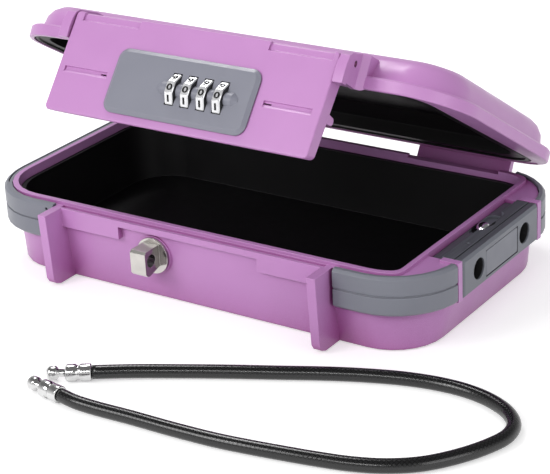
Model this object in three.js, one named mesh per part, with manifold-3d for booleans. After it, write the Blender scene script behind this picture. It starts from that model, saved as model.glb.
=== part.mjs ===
// Portable car safe: a tray with a hinged lid, a fold-down front flap that carries a dial lock,
// an end housing that holds both ends of a tether cable, and the loose cable.
// Millimetres, +Z up, +X towards the cable sockets, -Y towards the front flap.
// The origin is the centre of the base's underside. The lid stands open as on display.
import * as THREE from "three";
import { mergeVertices, mergeGeometries } from "three/addons/utils/BufferGeometryUtils.js";
import Module from "manifold-3d";

const wasm = await Module();
wasm.setup();

// Fits
const GAP = 0.3; // between pieces that rest on each other
const RUN = 0.35; // round a pin or a sliding rod
const SWING = 0.7; // beside a part that swings

// Poses
const LID_OPEN_DEG = 32.2;
const FLAP_OPEN_DEG = 6.5;

// Base tray, outside: the wall at the foot of the trim, and how far the floor lies inside it
// and the rim outside it
const WALL_HALF_X = 117;
const WALL_HALF_Y = 63.2;
const WALL_CORNER = 31;
const FLOOR_IN_X = 3.5;
const FLOOR_IN_Y = 2.2;
const FLOOR_CORNER = 24;
const RIM_OUT_LEFT = 0.3;
const RIM_OUT_RIGHT = 1.9;
const RIM_OUT_Y = 1;
const RIM_CORNER = 28;
const EDGE_ROUND = 1.6;
const RIM_Z = 36.6;
const FRONT_RIM_OUT = 3.6;
const FRONT_RIM_DROP = 3;
// Base tray, inside: how thick the walls are at the mouth
const TRAY_WALL_LEFT = 2;
const TRAY_WALL_RIGHT = 13.5;
const TRAY_WALL_Y = 2.7;
const TRAY_DRAFT = 3.4;
const TRAY_FLOOR = 3;
const TRAY_BIG_CORNER = 24;
const TRAY_SMALL_CORNER = 5;
// Lip round the mouth
const LIP_RISE = 1.5;
const LIP_SIDE = 2.2;
const LIP_RIGHT = 2.1;
const LIP_BREAK_X = 40.3;
const RIM_CHANNEL_IN = 0.3; // a channel in the front rim, from the lip's foot
const RIM_CHANNEL_WIDE = 2.4;
const RIM_CHANNEL_DEEP = 1.1;

// Ribs beside the flap, and the ledge blocks under the front rim
const RIB_INNER_X = 71;
const RIB_THICK = 4.3;
const RIB_TOP_OUT = 15;
const RIB_FOOT_OUT = 13.2;
const RIB_FOOT_Z = 4.2;
const LEDGE_INNER_X = 38;
const LEDGE_Z = 27.5;

// Corner bumpers and the end of the box
const BUMPER_OUT_LEFT = 5;
const BUMPER_OUT_RIGHT = 5.3;
const BUMPER_OUT_Y = 4.4;
const BUMPER_CORNER = 32;
const TRIM_Z0 = 19.5;
const BUMPER_FRONT_START = 1.7; // from the right rib's outer face
const TRIM_RISE = 1;
const TRIM_CHAMFER = 1.2;
const GROOVE_Z = 28.6;
const GROOVE_WIDE = 1.1;
const GROOVE_DEEP = 0.6;
const TOP_GROOVE_IN = 1.9;
const TOP_GROOVE_WIDE = 0.7;
const TOP_GROOVE_FRONT = 9.2;
const END_OUT = 5.5;
const END_HALF_Y = 35.2;
const STRIPE = 3.4;
const STRIPE_BACK = 0.5; // how far the stripe lies behind the end face

// Cable lock housing and what it holds
const HOUSING_TOP_DROP = 2.6;
const HOUSING_STEP_IN = 10.4;
const HOUSING_GROOVE_IN = 4.9;
const HOUSING_GROOVE_WIDE = 0.9;
const HOUSING_ROOF = 2.4;
const HOUSING_FACE = 4;
const SOCKET_FROM_END = 13.8;
const SOCKET_Z = 28.6;
const SOCKET_D = 9.8;
const SLIDE_THICK = 2;
const SLIDE_TRAVEL = 6;
const SLIDE_HALF_HIGH = 5;
const KEY_WIDE_D = 7.4;
const KEY_NARROW = 3.8;
const KNOB_IN = 12.1;
const KNOB_Y = 5.4;
const KNOB_R = 3.5;
const KNOB_FLAT = 0.1; // from the ball's centre down to its flat
const KNOB_STEM_R = 1.3;
const DISH_HALF = 4.1;
const DISH_DEEP = 1.4;
const DISH_FRONT = 9.2;
const DISH_REAR = 14.6;
const PANEL_FROM_END = 20.5;
const PANEL_Z0 = 22.2;
const PANEL_Z1 = 34.2;
const PANEL_THICK = 1.2;
const SCREW_HEAD_R = 2.4;
const SCREW_HEAD_H = 1.8;
const SCREW_R = 1.4;
const SCREW_IN = 13.2;
const HOUSING_SCREW_FROM_END = 4;
const HOUSING_SCREW_DOWN = 9; // from the housing's seat down to the screw's head
const HOUSING_SCREW_UP = 8; // and up to its tip
const MARK_IN = 7; // a small round mark on the housing's top
const MARK_Y = -18.1;
const MARK_R = 0.9;

// Hinge
const HINGE_OUT = 6.3;
const HINGE_Z = 20.5;
const BARREL_R = 5;
const HINGE_PIN_R = 1.5;
const ARM_INNER_X = 38.8;
const ARM_IN = 28.5; // from the wall's end to the arms' outer end
const ARM_THICK = 3.4;
const KNUCKLE_WIDE = 11;

// Lid, given in its closed place
const LID_OUT_LEFT = 5;
const LID_IN_RIGHT = 0.4;
const LID_OUT_Y = 2.3;
const LID_CORNER = 28;
const FLANGE_GAP = 0.5; // above the trim's top
const FLANGE_H = 5.8;
const DOME_INSET = 4.5;
const DOME_H = 12.4;
const DOME_ROUND = 10.5;
const LID_WALL = 2.4;
const LID_LEDGE = 2.4; // thickness of the flat ledge at the lid's right end
const LID_LINER_IN = 14.2;
const LID_LINER_SKEW = 0.04; // the liner's right end runs a little askew
const LINER_WALL = 1.8;

// Flap, given in its closed place
const FLAP_SIDE_ROOM = 1; // from the ribs
const FLAP_FACE_OUT = 18.3;
const FLAP_TOP_Z = 48.4;
const FLAP_LENGTH = 47.7;
const FLAP_SHELL = 2.4;
const FLAP_DEEP_TOP = 7.4;
const FLAP_DEEP_FOOT = 6;
const FLAP_STRAIGHT = 10; // the side walls keep their depth this far down
const FLAP_CORNER = 2.2;
const FLAP_EDGE = 0.9;
const FLAP_FOOT_DRAFT = 1.3;
const FLAP_SWING = 0.5; // beside the cheeks
const FLAP_PIN_OUT = 10.6;
const FLAP_PIN_DOWN = 2;
const FLAP_PIN_R = 1.2;
const EAR_R = 2.7;
const EAR_THICK = 3.4;
const CHEEK_THICK = 5;
const CHEEK_PROUD = 2;
const CHEEK_TAPER = 2.3;
const CHEEK_RUN_IN = 17; // from the cheek's front to where its slant meets the dome
const CHEEK_FOOT = 0.7; // how far the cheek's front hangs below the rim's top
const LINE_DOWN = 27.9; // engraved lines, from the flap's top edge
const LINE_HALF = 1.5;
const LINE_DEEP = 0.9;
const STEP_HIGH = 4.6; // long steps in the flap's top edge
const STEP_DEEP = 1.1;
const STEP_PAST_PLATE = 4.9; // the left step's end, past the lock plate's end
const NUB_DOWN = 25.9; // nubs behind the flap's side walls, from its top edge
const NUB_HIGH = 3.6;
const NUB_REACH = 12;

// Lock plate and dials
const PLATE_LEFT_X = -38.4;
const PLATE_RIGHT_X = 37.2;
const PLATE_DOWN = 13.9;
const PLATE_HIGH = 30.2;
const PLATE_THICK = 1.7;
const PLATE_CORNER = 5;
const DIAL_COUNT = 4;
const DIAL_FIRST_X = -3.7;
const DIAL_PITCH = 8.3;
const DIAL_WIDE = 4.4;
const DIAL_R = 8.5;
const DIAL_FACES = 10;
const DIAL_BORE_R = 3.1;
const DIAL_SUNK = 4.8;
const DIAL_DOWN = 29.25;
const DIAL_ROOM = 0.3;
const DIAL_SIDE_ROOM = 0.25;
const RIDGE_R = 3.6;
const RIDGE_RISE = 1.9;
const RIDGE_LEFT = 8.2;
const RIDGE_RIGHT = 8.8;
const AXLE_R = 1.4;
const BOLT_TRAVEL = 5;
const BOLT_R = 1.8;
const CASE_LEFT_X = -47;
const CASE_RIGHT_X = 38.2;
const CASE_DOWN = 12.6; // from the dials' axis to the case's foot
const BAY_TOP_ROOM = 1.9; // over the staple
const CASE_ROOF = 0.85; // over the staple's bay
const CASE_WALL = 1.6;
const BAY_WALL = 1.2;
const TAB_REACH = 3.3;
const TAB_DROP = 7.2;

// Latch staple
const STAPLE_X = -20;
const STAPLE_WIDE = 8.4;
const STAPLE_Z0 = 16.5;
const STAPLE_Z1 = 29;
const STAPLE_FRONT_OUT = 13.4;
const STAPLE_SEAT_OUT = 1.4;
const STAPLE_FLANGE_R = 8.6;
const STAPLE_FLANGE_THICK = 1.2;
const STAPLE_HOLE_OUT = 9;
const STAPLE_HOLE_Z = 23.6;
const STAPLE_HOLE_R = 3;
const STAPLE_TAIL_R = 2.5;
const STAPLE_TAIL_LENGTH = 8.6;
const NUT_ACROSS = 9;
const NUT_THICK = 2.4;

// Tether cable
const CABLE_D = 6;
const FERRULE_R = 3.75;
const FERRULE_LENGTH = 11;
const STUD_NECK_R = 1.7;
const STUD_HEAD_R = 3.1;
const STUD_LENGTH = 8;
const CABLE_SIDES = 10;
const CABLE_STEPS = 64;
// The route on the floor, from one ferrule round the loop to the other
const CABLE_ROUTE = [
  [2.7, -140.1], [16, -131.2], [31, -122.3], [51, -112], [72, -101.8], [88, -94], [104, -87.2],
  [120, -81.9], [135, -79.2], [148, -79.2], [160, -82], [170.3, -87.6], [176.6, -95.2],
  [178.2, -104.2], [175.2, -114.6], [168.6, -127], [159.4, -138.3], [148.4, -146],
  [136, -151], [121.6, -154.4], [108, -156.9], [94, -159.2], [80, -161], [60.2, -162.1],
  [40, -162.5], [21, -163.3], [12, -163.5], [4, -162.5],
];
const CABLE_FIRST_RUN = [-0.85, -0.52];
const CABLE_LAST_RUN = [-0.985, 0.17];

const COLOURS = {
  shell: { color: "#bd86c4", roughness: 0.42, metalness: 0 },
  trim: { color: "#787d88", roughness: 0.5, metalness: 0 },
  plate: { color: "#9095a0", roughness: 0.4, metalness: 0.1 },
  liner: { color: "#141416", roughness: 0.95, metalness: 0 },
  chrome: { color: "#d8d8da", roughness: 0.15, metalness: 1 },
  nickel: { color: "#c4c0b8", roughness: 0.28, metalness: 1 },
  steel: { color: "#a9abb0", roughness: 0.35, metalness: 1 },
  lockcase: { color: "#26272b", roughness: 0.6, metalness: 0 },
  cable: { color: "#101114", roughness: 0.2, metalness: 0 },
};

// Places that follow from the sizes above

const SOCKET_HALF_Y = END_HALF_Y - SOCKET_FROM_END;
const PANEL_HALF_Y = END_HALF_Y - PANEL_FROM_END;
const HOUSING_SCREW_Y = END_HALF_Y - HOUSING_SCREW_FROM_END;
const ARM_OUTER_X = WALL_HALF_X - ARM_IN;
const FLAP_HALF_X = RIB_INNER_X - FLAP_SIDE_ROOM;
const FLOOR_HALF_X = WALL_HALF_X - FLOOR_IN_X;
const FLOOR_HALF_Y = WALL_HALF_Y - FLOOR_IN_Y;
const FRONT_RIM_Y = WALL_HALF_Y + FRONT_RIM_OUT;
const TRAY_LEFT_X = -WALL_HALF_X + TRAY_WALL_LEFT;
const TRAY_RIGHT_X = WALL_HALF_X - TRAY_WALL_RIGHT;
const TRAY_HALF_Y = WALL_HALF_Y - TRAY_WALL_Y;
const RIB_TOP_Y = WALL_HALF_Y + RIB_TOP_OUT;
const RIB_FOOT_Y = WALL_HALF_Y + RIB_FOOT_OUT;
const BUMPER_LEFT_X = -WALL_HALF_X - BUMPER_OUT_LEFT;
const BUMPER_RIGHT_X = WALL_HALF_X + BUMPER_OUT_RIGHT;
const BUMPER_HALF_Y = WALL_HALF_Y + BUMPER_OUT_Y;
const REAR_BUMPER_END_X = ARM_OUTER_X + SWING + KNUCKLE_WIDE * 0.6 + 0.7;
const TRIM_Z1 = RIM_Z + TRIM_RISE;
const END_X = WALL_HALF_X + END_OUT;
const HOUSING_TOP_Z = TRIM_Z1 - HOUSING_TOP_DROP;
const HOUSING_STEP_X = END_X - HOUSING_STEP_IN;
const KNOB_X = END_X - KNOB_IN;
const SCREW_X = END_X - SCREW_IN;
const HINGE_Y = WALL_HALF_Y + HINGE_OUT;
const LID_LEFT_X = -WALL_HALF_X - LID_OUT_LEFT;
const LID_RIGHT_X = WALL_HALF_X - LID_IN_RIGHT;
const LID_HALF_Y = WALL_HALF_Y + LID_OUT_Y;
const LID_LINER_RIGHT_X = LID_RIGHT_X - LID_LINER_IN;
const FLANGE_Z0 = TRIM_Z1 + FLANGE_GAP;
const STRIPE_X = END_X - STRIPE_BACK;
const FLAP_FACE_Y = -WALL_HALF_Y - FLAP_FACE_OUT;
const FLAP_PIN_Y = -WALL_HALF_Y - FLAP_PIN_OUT;
const FLAP_PIN_Z = FLAP_TOP_Z - FLAP_PIN_DOWN;
const CHEEK_FRONT_Y = FLAP_FACE_Y - CHEEK_PROUD;
const STAPLE_FRONT_Y = -WALL_HALF_Y - STAPLE_FRONT_OUT;
const STAPLE_SEAT_Y = -WALL_HALF_Y - STAPLE_SEAT_OUT;
const STAPLE_HOLE_Y = -WALL_HALF_Y - STAPLE_HOLE_OUT;
const STAPLE_TAIL_END_Y = STAPLE_SEAT_Y + STAPLE_TAIL_LENGTH;

// Solids

// A closed geometry as a solid that can be joined and cut
function solid(geometry) {
  const bare = new THREE.BufferGeometry();
  bare.setAttribute("position", geometry.getAttribute("position"));
  bare.setIndex(geometry.getIndex());
  const merged = mergeVertices(bare, 1e-4);
  return new wasm.Manifold(new wasm.Mesh({
    numProp: 3,
    vertProperties: new Float32Array(merged.getAttribute("position").array),
    triVerts: new Uint32Array(merged.getIndex().array),
  }));
}

function geometryOf(body) {
  const mesh = body.getMesh();
  const geometry = new THREE.BufferGeometry();
  geometry.setAttribute("position", new THREE.BufferAttribute(mesh.vertProperties, 3));
  geometry.setIndex(new THREE.BufferAttribute(mesh.triVerts, 1));
  return geometry;
}

function cut(body, ...tools) {
  return tools.reduce((left, tool) => left.subtract(tool), body);
}

function join(first, ...rest) {
  return rest.reduce((left, next) => left.add(next), first);
}

function box(x0, x1, y0, y1, z0, z1) {
  const geometry = new THREE.BoxGeometry(x1 - x0, y1 - y0, z1 - z0);
  geometry.translate((x0 + x1) / 2, (y0 + y1) / 2, (z0 + z1) / 2);
  return solid(geometry);
}

// A round bar along x, y or z from one place to another
function bar(axis, radius, from, to, centre, sides = 24, endRadius = radius) {
  const geometry = new THREE.CylinderGeometry(endRadius, radius, to - from, sides);
  if (axis === "x") geometry.rotateZ(-Math.PI / 2);
  if (axis === "z") geometry.rotateX(Math.PI / 2);
  const middle = (from + to) / 2;
  if (axis === "x") geometry.translate(middle, centre[0], centre[1]);
  if (axis === "y") geometry.translate(centre[0], middle, centre[1]);
  if (axis === "z") geometry.translate(centre[0], centre[1], middle);
  return solid(geometry);
}

// A profile drawn in y and z, drawn out along x
function profile(points, x0, x1) {
  const shape = new THREE.Shape(points.map(([y, z]) => new THREE.Vector2(y, z)));
  const geometry = new THREE.ExtrudeGeometry(shape, { depth: x1 - x0, bevelEnabled: false });
  const turn = new THREE.Matrix4().makeBasis(
    new THREE.Vector3(0, 1, 0), new THREE.Vector3(0, 0, 1), new THREE.Vector3(1, 0, 0));
  geometry.applyMatrix4(turn);
  geometry.translate(x0, 0, 0);
  return solid(geometry);
}

// The outline of a rectangle with round corners; corners run from the one at high u and high v
// anticlockwise, and each may have its own radius
function outline(u0, u1, v0, v1, radii, steps = 6) {
  const r = Array.isArray(radii) ? radii : [radii, radii, radii, radii];
  const centres = [
    [u1 - r[0], v1 - r[0]], [u0 + r[1], v1 - r[1]], [u0 + r[2], v0 + r[2]], [u1 - r[3], v0 + r[3]],
  ];
  const points = [];
  centres.forEach(([cu, cv], corner) => {
    for (let i = 0; i <= steps; i += 1) {
      const angle = (corner + i / steps) * Math.PI / 2;
      points.push([cu + r[corner] * Math.cos(angle), cv + r[corner] * Math.sin(angle)]);
    }
  });
  return points;
}

// Outlines of equally many points at rising heights, skinned into one solid
function loft(layers) {
  const count = layers[0].points.length;
  const positions = [];
  const index = [];
  layers.forEach(({ points, z }) => points.forEach(([u, v]) => positions.push(u, v, z)));
  for (let layer = 0; layer + 1 < layers.length; layer += 1) {
    for (let i = 0; i < count; i += 1) {
      const a = layer * count + i;
      const b = layer * count + ((i + 1) % count);
      index.push(a, b, b + count, a, b + count, a + count);
    }
  }
  const top = (layers.length - 1) * count;
  for (let i = 1; i + 1 < count; i += 1) {
    index.push(0, i + 1, i);
    index.push(top, top + i, top + i + 1);
  }
  const geometry = new THREE.BufferGeometry();
  geometry.setAttribute("position", new THREE.Float32BufferAttribute(positions, 3));
  geometry.setIndex(index);
  return solid(geometry);
}

// Turn a loft whose outlines are in x and z, rising towards the front, into place:
// the loft's own x, y and height become x, z and -y
function faceFront(body) {
  const geometry = geometryOf(body);
  geometry.applyMatrix4(new THREE.Matrix4().makeBasis(
    new THREE.Vector3(1, 0, 0), new THREE.Vector3(0, 0, 1), new THREE.Vector3(0, -1, 0)));
  return solid(geometry);
}

// The same, with the outlines in y and z, rising towards the right
function faceRight(body) {
  const geometry = geometryOf(body);
  geometry.applyMatrix4(new THREE.Matrix4().makeBasis(
    new THREE.Vector3(0, 1, 0), new THREE.Vector3(0, 0, 1), new THREE.Vector3(1, 0, 0)));
  return solid(geometry);
}

function mirrorX(make) {
  return [-1, 1].map((side) => make(side));
}

function span(side, near, far) {
  return side > 0 ? [near, far] : [-far, -near];
}

// Base tray

const lipZ = RIM_Z + LIP_RISE;
const ribOuterX = RIB_INNER_X + RIB_THICK;

// The wall's outline at a height: floor, foot of the trim, rim
function wallLayer(z, grow = 0) {
  const low = Math.min(1, Math.max(0, z / TRIM_Z0));
  const high = Math.min(1, Math.max(0, (z - TRIM_Z0) / (RIM_Z - TRIM_Z0)));
  const { lerp } = THREE.MathUtils;
  const x = lerp(FLOOR_HALF_X, WALL_HALF_X, low) + grow;
  const y = lerp(FLOOR_HALF_Y, WALL_HALF_Y, low) + RIM_OUT_Y * high + grow;
  const corner = lerp(lerp(FLOOR_CORNER, WALL_CORNER, low), RIM_CORNER, high) + grow;
  return { points: outline(-x - RIM_OUT_LEFT * high, x + RIM_OUT_RIGHT * high, -y, y, corner, 7), z };
}

// The mouth has the same big round corners at both ends, but a straight wall cuts it short on the
// right; a small round joins that wall to the big one. Insets draw the whole outline in.
function mouthOutline(inset, wallX, smallCorner) {
  const big = TRAY_BIG_CORNER - inset * 0.5;
  const halfX = -TRAY_LEFT_X - inset;
  const halfY = TRAY_HALF_Y - inset;
  const [bigX, bigY] = [halfX - big, halfY - big];
  const smallX = wallX - smallCorner;
  const smallY = bigY + Math.sqrt((big - smallCorner) ** 2 - (smallX - bigX) ** 2);
  const turn = Math.atan2(smallY - bigY, smallX - bigX);
  const corner = [];
  for (let i = 0; i <= 4; i += 1) {
    const angle = turn * (i / 4);
    corner.push([smallX + smallCorner * Math.cos(angle), smallY + smallCorner * Math.sin(angle)]);
  }
  for (let i = 1; i <= 3; i += 1) {
    const angle = turn + (Math.PI / 2 - turn) * (i / 3);
    corner.push([bigX + big * Math.cos(angle), bigY + big * Math.sin(angle)]);
  }
  const left = [];
  for (let i = 0; i <= 7; i += 1) {
    const angle = (1 + i / 7) * Math.PI / 2;
    left.push([-bigX + big * Math.cos(angle), bigY + big * Math.sin(angle)]);
  }
  const upper = [...corner, ...left];
  return [...upper, ...upper.map(([x, y]) => [x, -y]).reverse()];
}

function trayLayer(z, inset = 0) {
  const t = (z - TRAY_FLOOR) / (lipZ - TRAY_FLOOR);
  const draft = TRAY_DRAFT * (1 - t) + inset;
  return { points: mouthOutline(draft, TRAY_RIGHT_X - draft, TRAY_SMALL_CORNER), z };
}

function lipLayer(z) {
  return { points: mouthOutline(-LIP_SIDE, TRAY_RIGHT_X + LIP_RIGHT, TRAY_SMALL_CORNER + 1), z };
}

function ribProfile() {
  const topZ = RIM_Z;
  const root = -(FLOOR_HALF_Y - 2);
  return [
    [root, topZ], [-RIB_TOP_Y, topZ], [-RIB_FOOT_Y, RIB_FOOT_Z], [-(RIB_FOOT_Y - 1.6), 1.7],
    [-(RIB_FOOT_Y - 4.6), 0.5], [root, 0.5],
  ];
}

function makeBaseShell() {
  const small = wallLayer(0, -EDGE_ROUND);
  const next = { points: wallLayer(EDGE_ROUND * 0.3, -EDGE_ROUND * 0.3).points, z: EDGE_ROUND * 0.3 };
  const outside = loft([small, next, wallLayer(EDGE_ROUND), wallLayer(TRIM_Z0), wallLayer(RIM_Z)]);
  const rimY = (side) => [side * (WALL_HALF_Y - 4), side * FRONT_RIM_Y].sort((a, b) => a - b);
  const [frontY0, frontY1] = rimY(-1);
  const frontRim = box(-ribOuterX, ribOuterX, frontY0, frontY1, RIM_Z - FRONT_RIM_DROP, RIM_Z);
  const ledges = mirrorX((side) => {
    const [x0, x1] = span(side, LEDGE_INNER_X, RIB_INNER_X + 1);
    return box(x0, x1, frontY0, frontY1, LEDGE_Z, RIM_Z - 1);
  });
  const ribs = mirrorX((side) => profile(ribProfile(), ...span(side, RIB_INNER_X, ribOuterX)));
  const stripes = [-1, 1].map((side) => {
    const [y0, y1] = span(side, END_HALF_Y + GAP, END_HALF_Y + GAP + STRIPE);
    return box(WALL_HALF_X - 4, STRIPE_X, y0, y1, TRIM_Z0, TRIM_Z1);
  });
  const lip = loft([lipLayer(RIM_Z - 2), lipLayer(lipZ)])
    .intersect(loft([{ ...wallLayer(RIM_Z), z: 0 }, { ...wallLayer(RIM_Z), z: lipZ + 1 }]));
  const pad = bar("y", STAPLE_FLANGE_R + 0.6, STAPLE_SEAT_Y, -FLOOR_HALF_Y + 1,
    [STAPLE_X, (STAPLE_Z0 + STAPLE_Z1) / 2], 32);
  let body = join(outside, frontRim, ...ledges, ...ribs, ...stripes, lip, pad);

  // Rear knuckles stand out round the hinge line, beside each lid arm
  const knuckles = [];
  mirrorX((side) => {
    const inner = span(side, ARM_INNER_X - SWING - KNUCKLE_WIDE, ARM_INNER_X - SWING);
    const outer = span(side, ARM_OUTER_X + SWING, ARM_OUTER_X + SWING + KNUCKLE_WIDE * 0.6);
    [inner, outer].forEach(([x0, x1]) => {
      knuckles.push(bar("x", BARREL_R, x0, x1, [HINGE_Y, HINGE_Z], 24));
      knuckles.push(profile([
        [FLOOR_HALF_Y - 2, HINGE_Z - BARREL_R * 2.2], [FLOOR_HALF_Y + 1, HINGE_Z - BARREL_R * 2.2],
        [HINGE_Y + BARREL_R * 0.5, HINGE_Z - BARREL_R * 0.86],
        [HINGE_Y + BARREL_R * 0.5, HINGE_Z + BARREL_R * 0.86],
        [WALL_HALF_Y, HINGE_Z + BARREL_R * 1.9], [FLOOR_HALF_Y - 2, HINGE_Z + BARREL_R * 1.9],
      ], x0, x1));
    });
  });
  body = join(body, ...knuckles);

  // The mouth and its draft
  const cavity = loft([trayLayer(TRAY_FLOOR), { points: trayLayer(lipZ).points, z: lipZ + 1 }]);
  body = cut(body, cavity);

  // Seat of the cable lock housing, and the well under it between the two screw bosses
  const seatX = TRAY_RIGHT_X + LIP_RIGHT;
  body = cut(body,
    box(seatX, END_X + 1, -END_HALF_Y - GAP, END_HALF_Y + GAP, TRIM_Z0 - GAP, lipZ + 1),
    box(seatX + 1, WALL_HALF_X - 5, -END_HALF_Y + 9, END_HALF_Y - 9, TRAY_FLOOR, TRIM_Z0));

  // A channel in the front rim between the ribs
  const channelY = TRAY_HALF_Y + LIP_SIDE + RIM_CHANNEL_IN;
  body = cut(body, box(-RIB_INNER_X - 1, RIB_INNER_X + 1, -channelY - RIM_CHANNEL_WIDE, -channelY,
    RIM_Z - RIM_CHANNEL_DEEP, RIM_Z + 1));

  // Holes: hinge pins, staple tail, housing screws
  mirrorX((side) => {
    const [x0, x1] = span(side, pinInnerX - GAP, ARM_OUTER_X + KNUCKLE_WIDE + 1);
    body = cut(body, bar("x", HINGE_PIN_R + RUN, x0, x1, [HINGE_Y, HINGE_Z], 16));
  });
  body = cut(body, bar("y", STAPLE_TAIL_R + GAP, -FRONT_RIM_Y, -FLOOR_HALF_Y + 12,
    [STAPLE_X, (STAPLE_Z0 + STAPLE_Z1) / 2], 24));
  [-1, 1].forEach((side) => {
    const at = [SCREW_X, side * HOUSING_SCREW_Y];
    body = cut(body, bar("z", SCREW_HEAD_R + GAP, -1, housingScrewZ + GAP, at, 20),
      bar("z", SCREW_R + GAP, housingScrewZ, TRIM_Z0 + 1, at, 16));
  });
  // The lip steps down to the rim where the lid arms pass
  mirrorX((side) => {
    const [x0, x1] = span(side, LIP_BREAK_X, ARM_OUTER_X + SWING);
    body = cut(body, box(x0, x1, TRAY_HALF_Y - TRAY_DRAFT, LID_HALF_Y, RIM_Z, lipZ + 1));
  });
  return body;
}

const pinInnerX = ARM_INNER_X - SWING - KNUCKLE_WIDE + 2;
const pinOuterX = ARM_OUTER_X + SWING + KNUCKLE_WIDE * 0.6 - GAP;
const housingScrewZ = TRIM_Z0 - HOUSING_SCREW_DOWN;
const housingScrewTip = TRIM_Z0 + HOUSING_SCREW_UP;

function makeBaseLiner() {
  const top = 34;
  const floor = TRAY_FLOOR + GAP;
  const clear = GAP + 0.1;
  const outer = loft([
    { points: trayLayer(floor, clear).points, z: floor },
    { points: trayLayer(top, clear).points, z: top },
  ]);
  const inner = loft([
    { points: trayLayer(floor, clear + LINER_WALL).points, z: floor + LINER_WALL },
    { points: trayLayer(top, clear + LINER_WALL).points, z: top + 1 },
  ]);
  const nutHole = bar("y", NUT_ACROSS * 0.72, -TRAY_HALF_Y - 1, -TRAY_HALF_Y + 12,
    [STAPLE_X, (STAPLE_Z0 + STAPLE_Z1) / 2], 20);
  return cut(outer, inner, nutHole);
}

// Bumpers: one wraps round the whole left end, two cover the right corners

function bumperLayer(z, inset) {
  const points = outline(BUMPER_LEFT_X + inset, BUMPER_RIGHT_X - inset, -BUMPER_HALF_Y + inset,
    BUMPER_HALF_Y - inset, BUMPER_CORNER - inset, 8);
  return { points, z };
}

function bumperRing() {
  const groove = GROOVE_WIDE / 2;
  const outer = loft([
    bumperLayer(TRIM_Z0, TRIM_CHAMFER), bumperLayer(TRIM_Z0 + TRIM_CHAMFER, 0),
    bumperLayer(GROOVE_Z - groove, 0), bumperLayer(GROOVE_Z - groove * 0.5, GROOVE_DEEP),
    bumperLayer(GROOVE_Z + groove * 0.5, GROOVE_DEEP), bumperLayer(GROOVE_Z + groove, 0),
    bumperLayer(TRIM_Z1 - TRIM_CHAMFER, 0), bumperLayer(TRIM_Z1, TRIM_CHAMFER),
  ]);
  const inner = loft([wallLayer(TRIM_Z0 - 1, GAP), wallLayer(TRIM_Z0, GAP), wallLayer(RIM_Z, GAP),
    wallLayer(TRIM_Z1 + 1, GAP)]);
  return cut(outer, inner);
}

function makeLeftBumper() {
  const far = BUMPER_LEFT_X - 1;
  const y = BUMPER_HALF_Y + 1;
  const keep = join(
    box(far, -ribOuterX - GAP, -y, 0, TRIM_Z0 - 1, TRIM_Z1 + 1),
    box(far, -REAR_BUMPER_END_X, -1, y, TRIM_Z0 - 1, TRIM_Z1 + 1));
  // A groove in the top follows the outer edge round the left end
  const grooveFloor = TRIM_Z1 - 0.8;
  const groove = cut(
    loft([bumperLayer(grooveFloor, TOP_GROOVE_IN), bumperLayer(TRIM_Z1 + 1, TOP_GROOVE_IN)]),
    loft([bumperLayer(grooveFloor - 1, TOP_GROOVE_IN + TOP_GROOVE_WIDE),
      bumperLayer(TRIM_Z1 + 2, TOP_GROOVE_IN + TOP_GROOVE_WIDE)]))
    .intersect(box(far, 0, -WALL_HALF_Y + TOP_GROOVE_FRONT, WALL_HALF_Y - TOP_GROOVE_FRONT,
      TRIM_Z0, TRIM_Z1 + 2));
  const hole = bar("y", 0.7, -BUMPER_HALF_Y - 1, -BUMPER_HALF_Y + 1.5, [-ribOuterX - 3.9, TRIM_Z1 - 2.6], 12);
  return cut(bumperRing().intersect(keep), groove, hole);
}

function makeRightBumper(side) {
  const x0 = side < 0 ? ribOuterX + BUMPER_FRONT_START : REAR_BUMPER_END_X;
  const [y0, y1] = span(side, END_HALF_Y + STRIPE + 2 * GAP, BUMPER_HALF_Y + 1);
  return bumperRing().intersect(box(x0, BUMPER_RIGHT_X + 1, y0, y1, TRIM_Z0 - 1, TRIM_Z1 + 1));
}

// Cable lock housing

const slideX0 = END_X - HOUSING_FACE - GAP - SLIDE_THICK;
const slideX1 = END_X - HOUSING_FACE - GAP;
const hollowHalfY = END_HALF_Y - 1.8;
const hollowTopZ = HOUSING_TOP_Z - HOUSING_ROOF;
const dishFloorZ = HOUSING_TOP_Z - DISH_DEEP;
const slideY0 = -hollowHalfY + 0.6;
const slideY1 = hollowHalfY - 0.6 - SLIDE_TRAVEL;
const springX = (KNOB_X + slideX0) / 2;
const springZ = SOCKET_Z - 2.6;
const springY0 = KNOB_Y - 1;
const springY1 = springY0 + 14.4;

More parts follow.
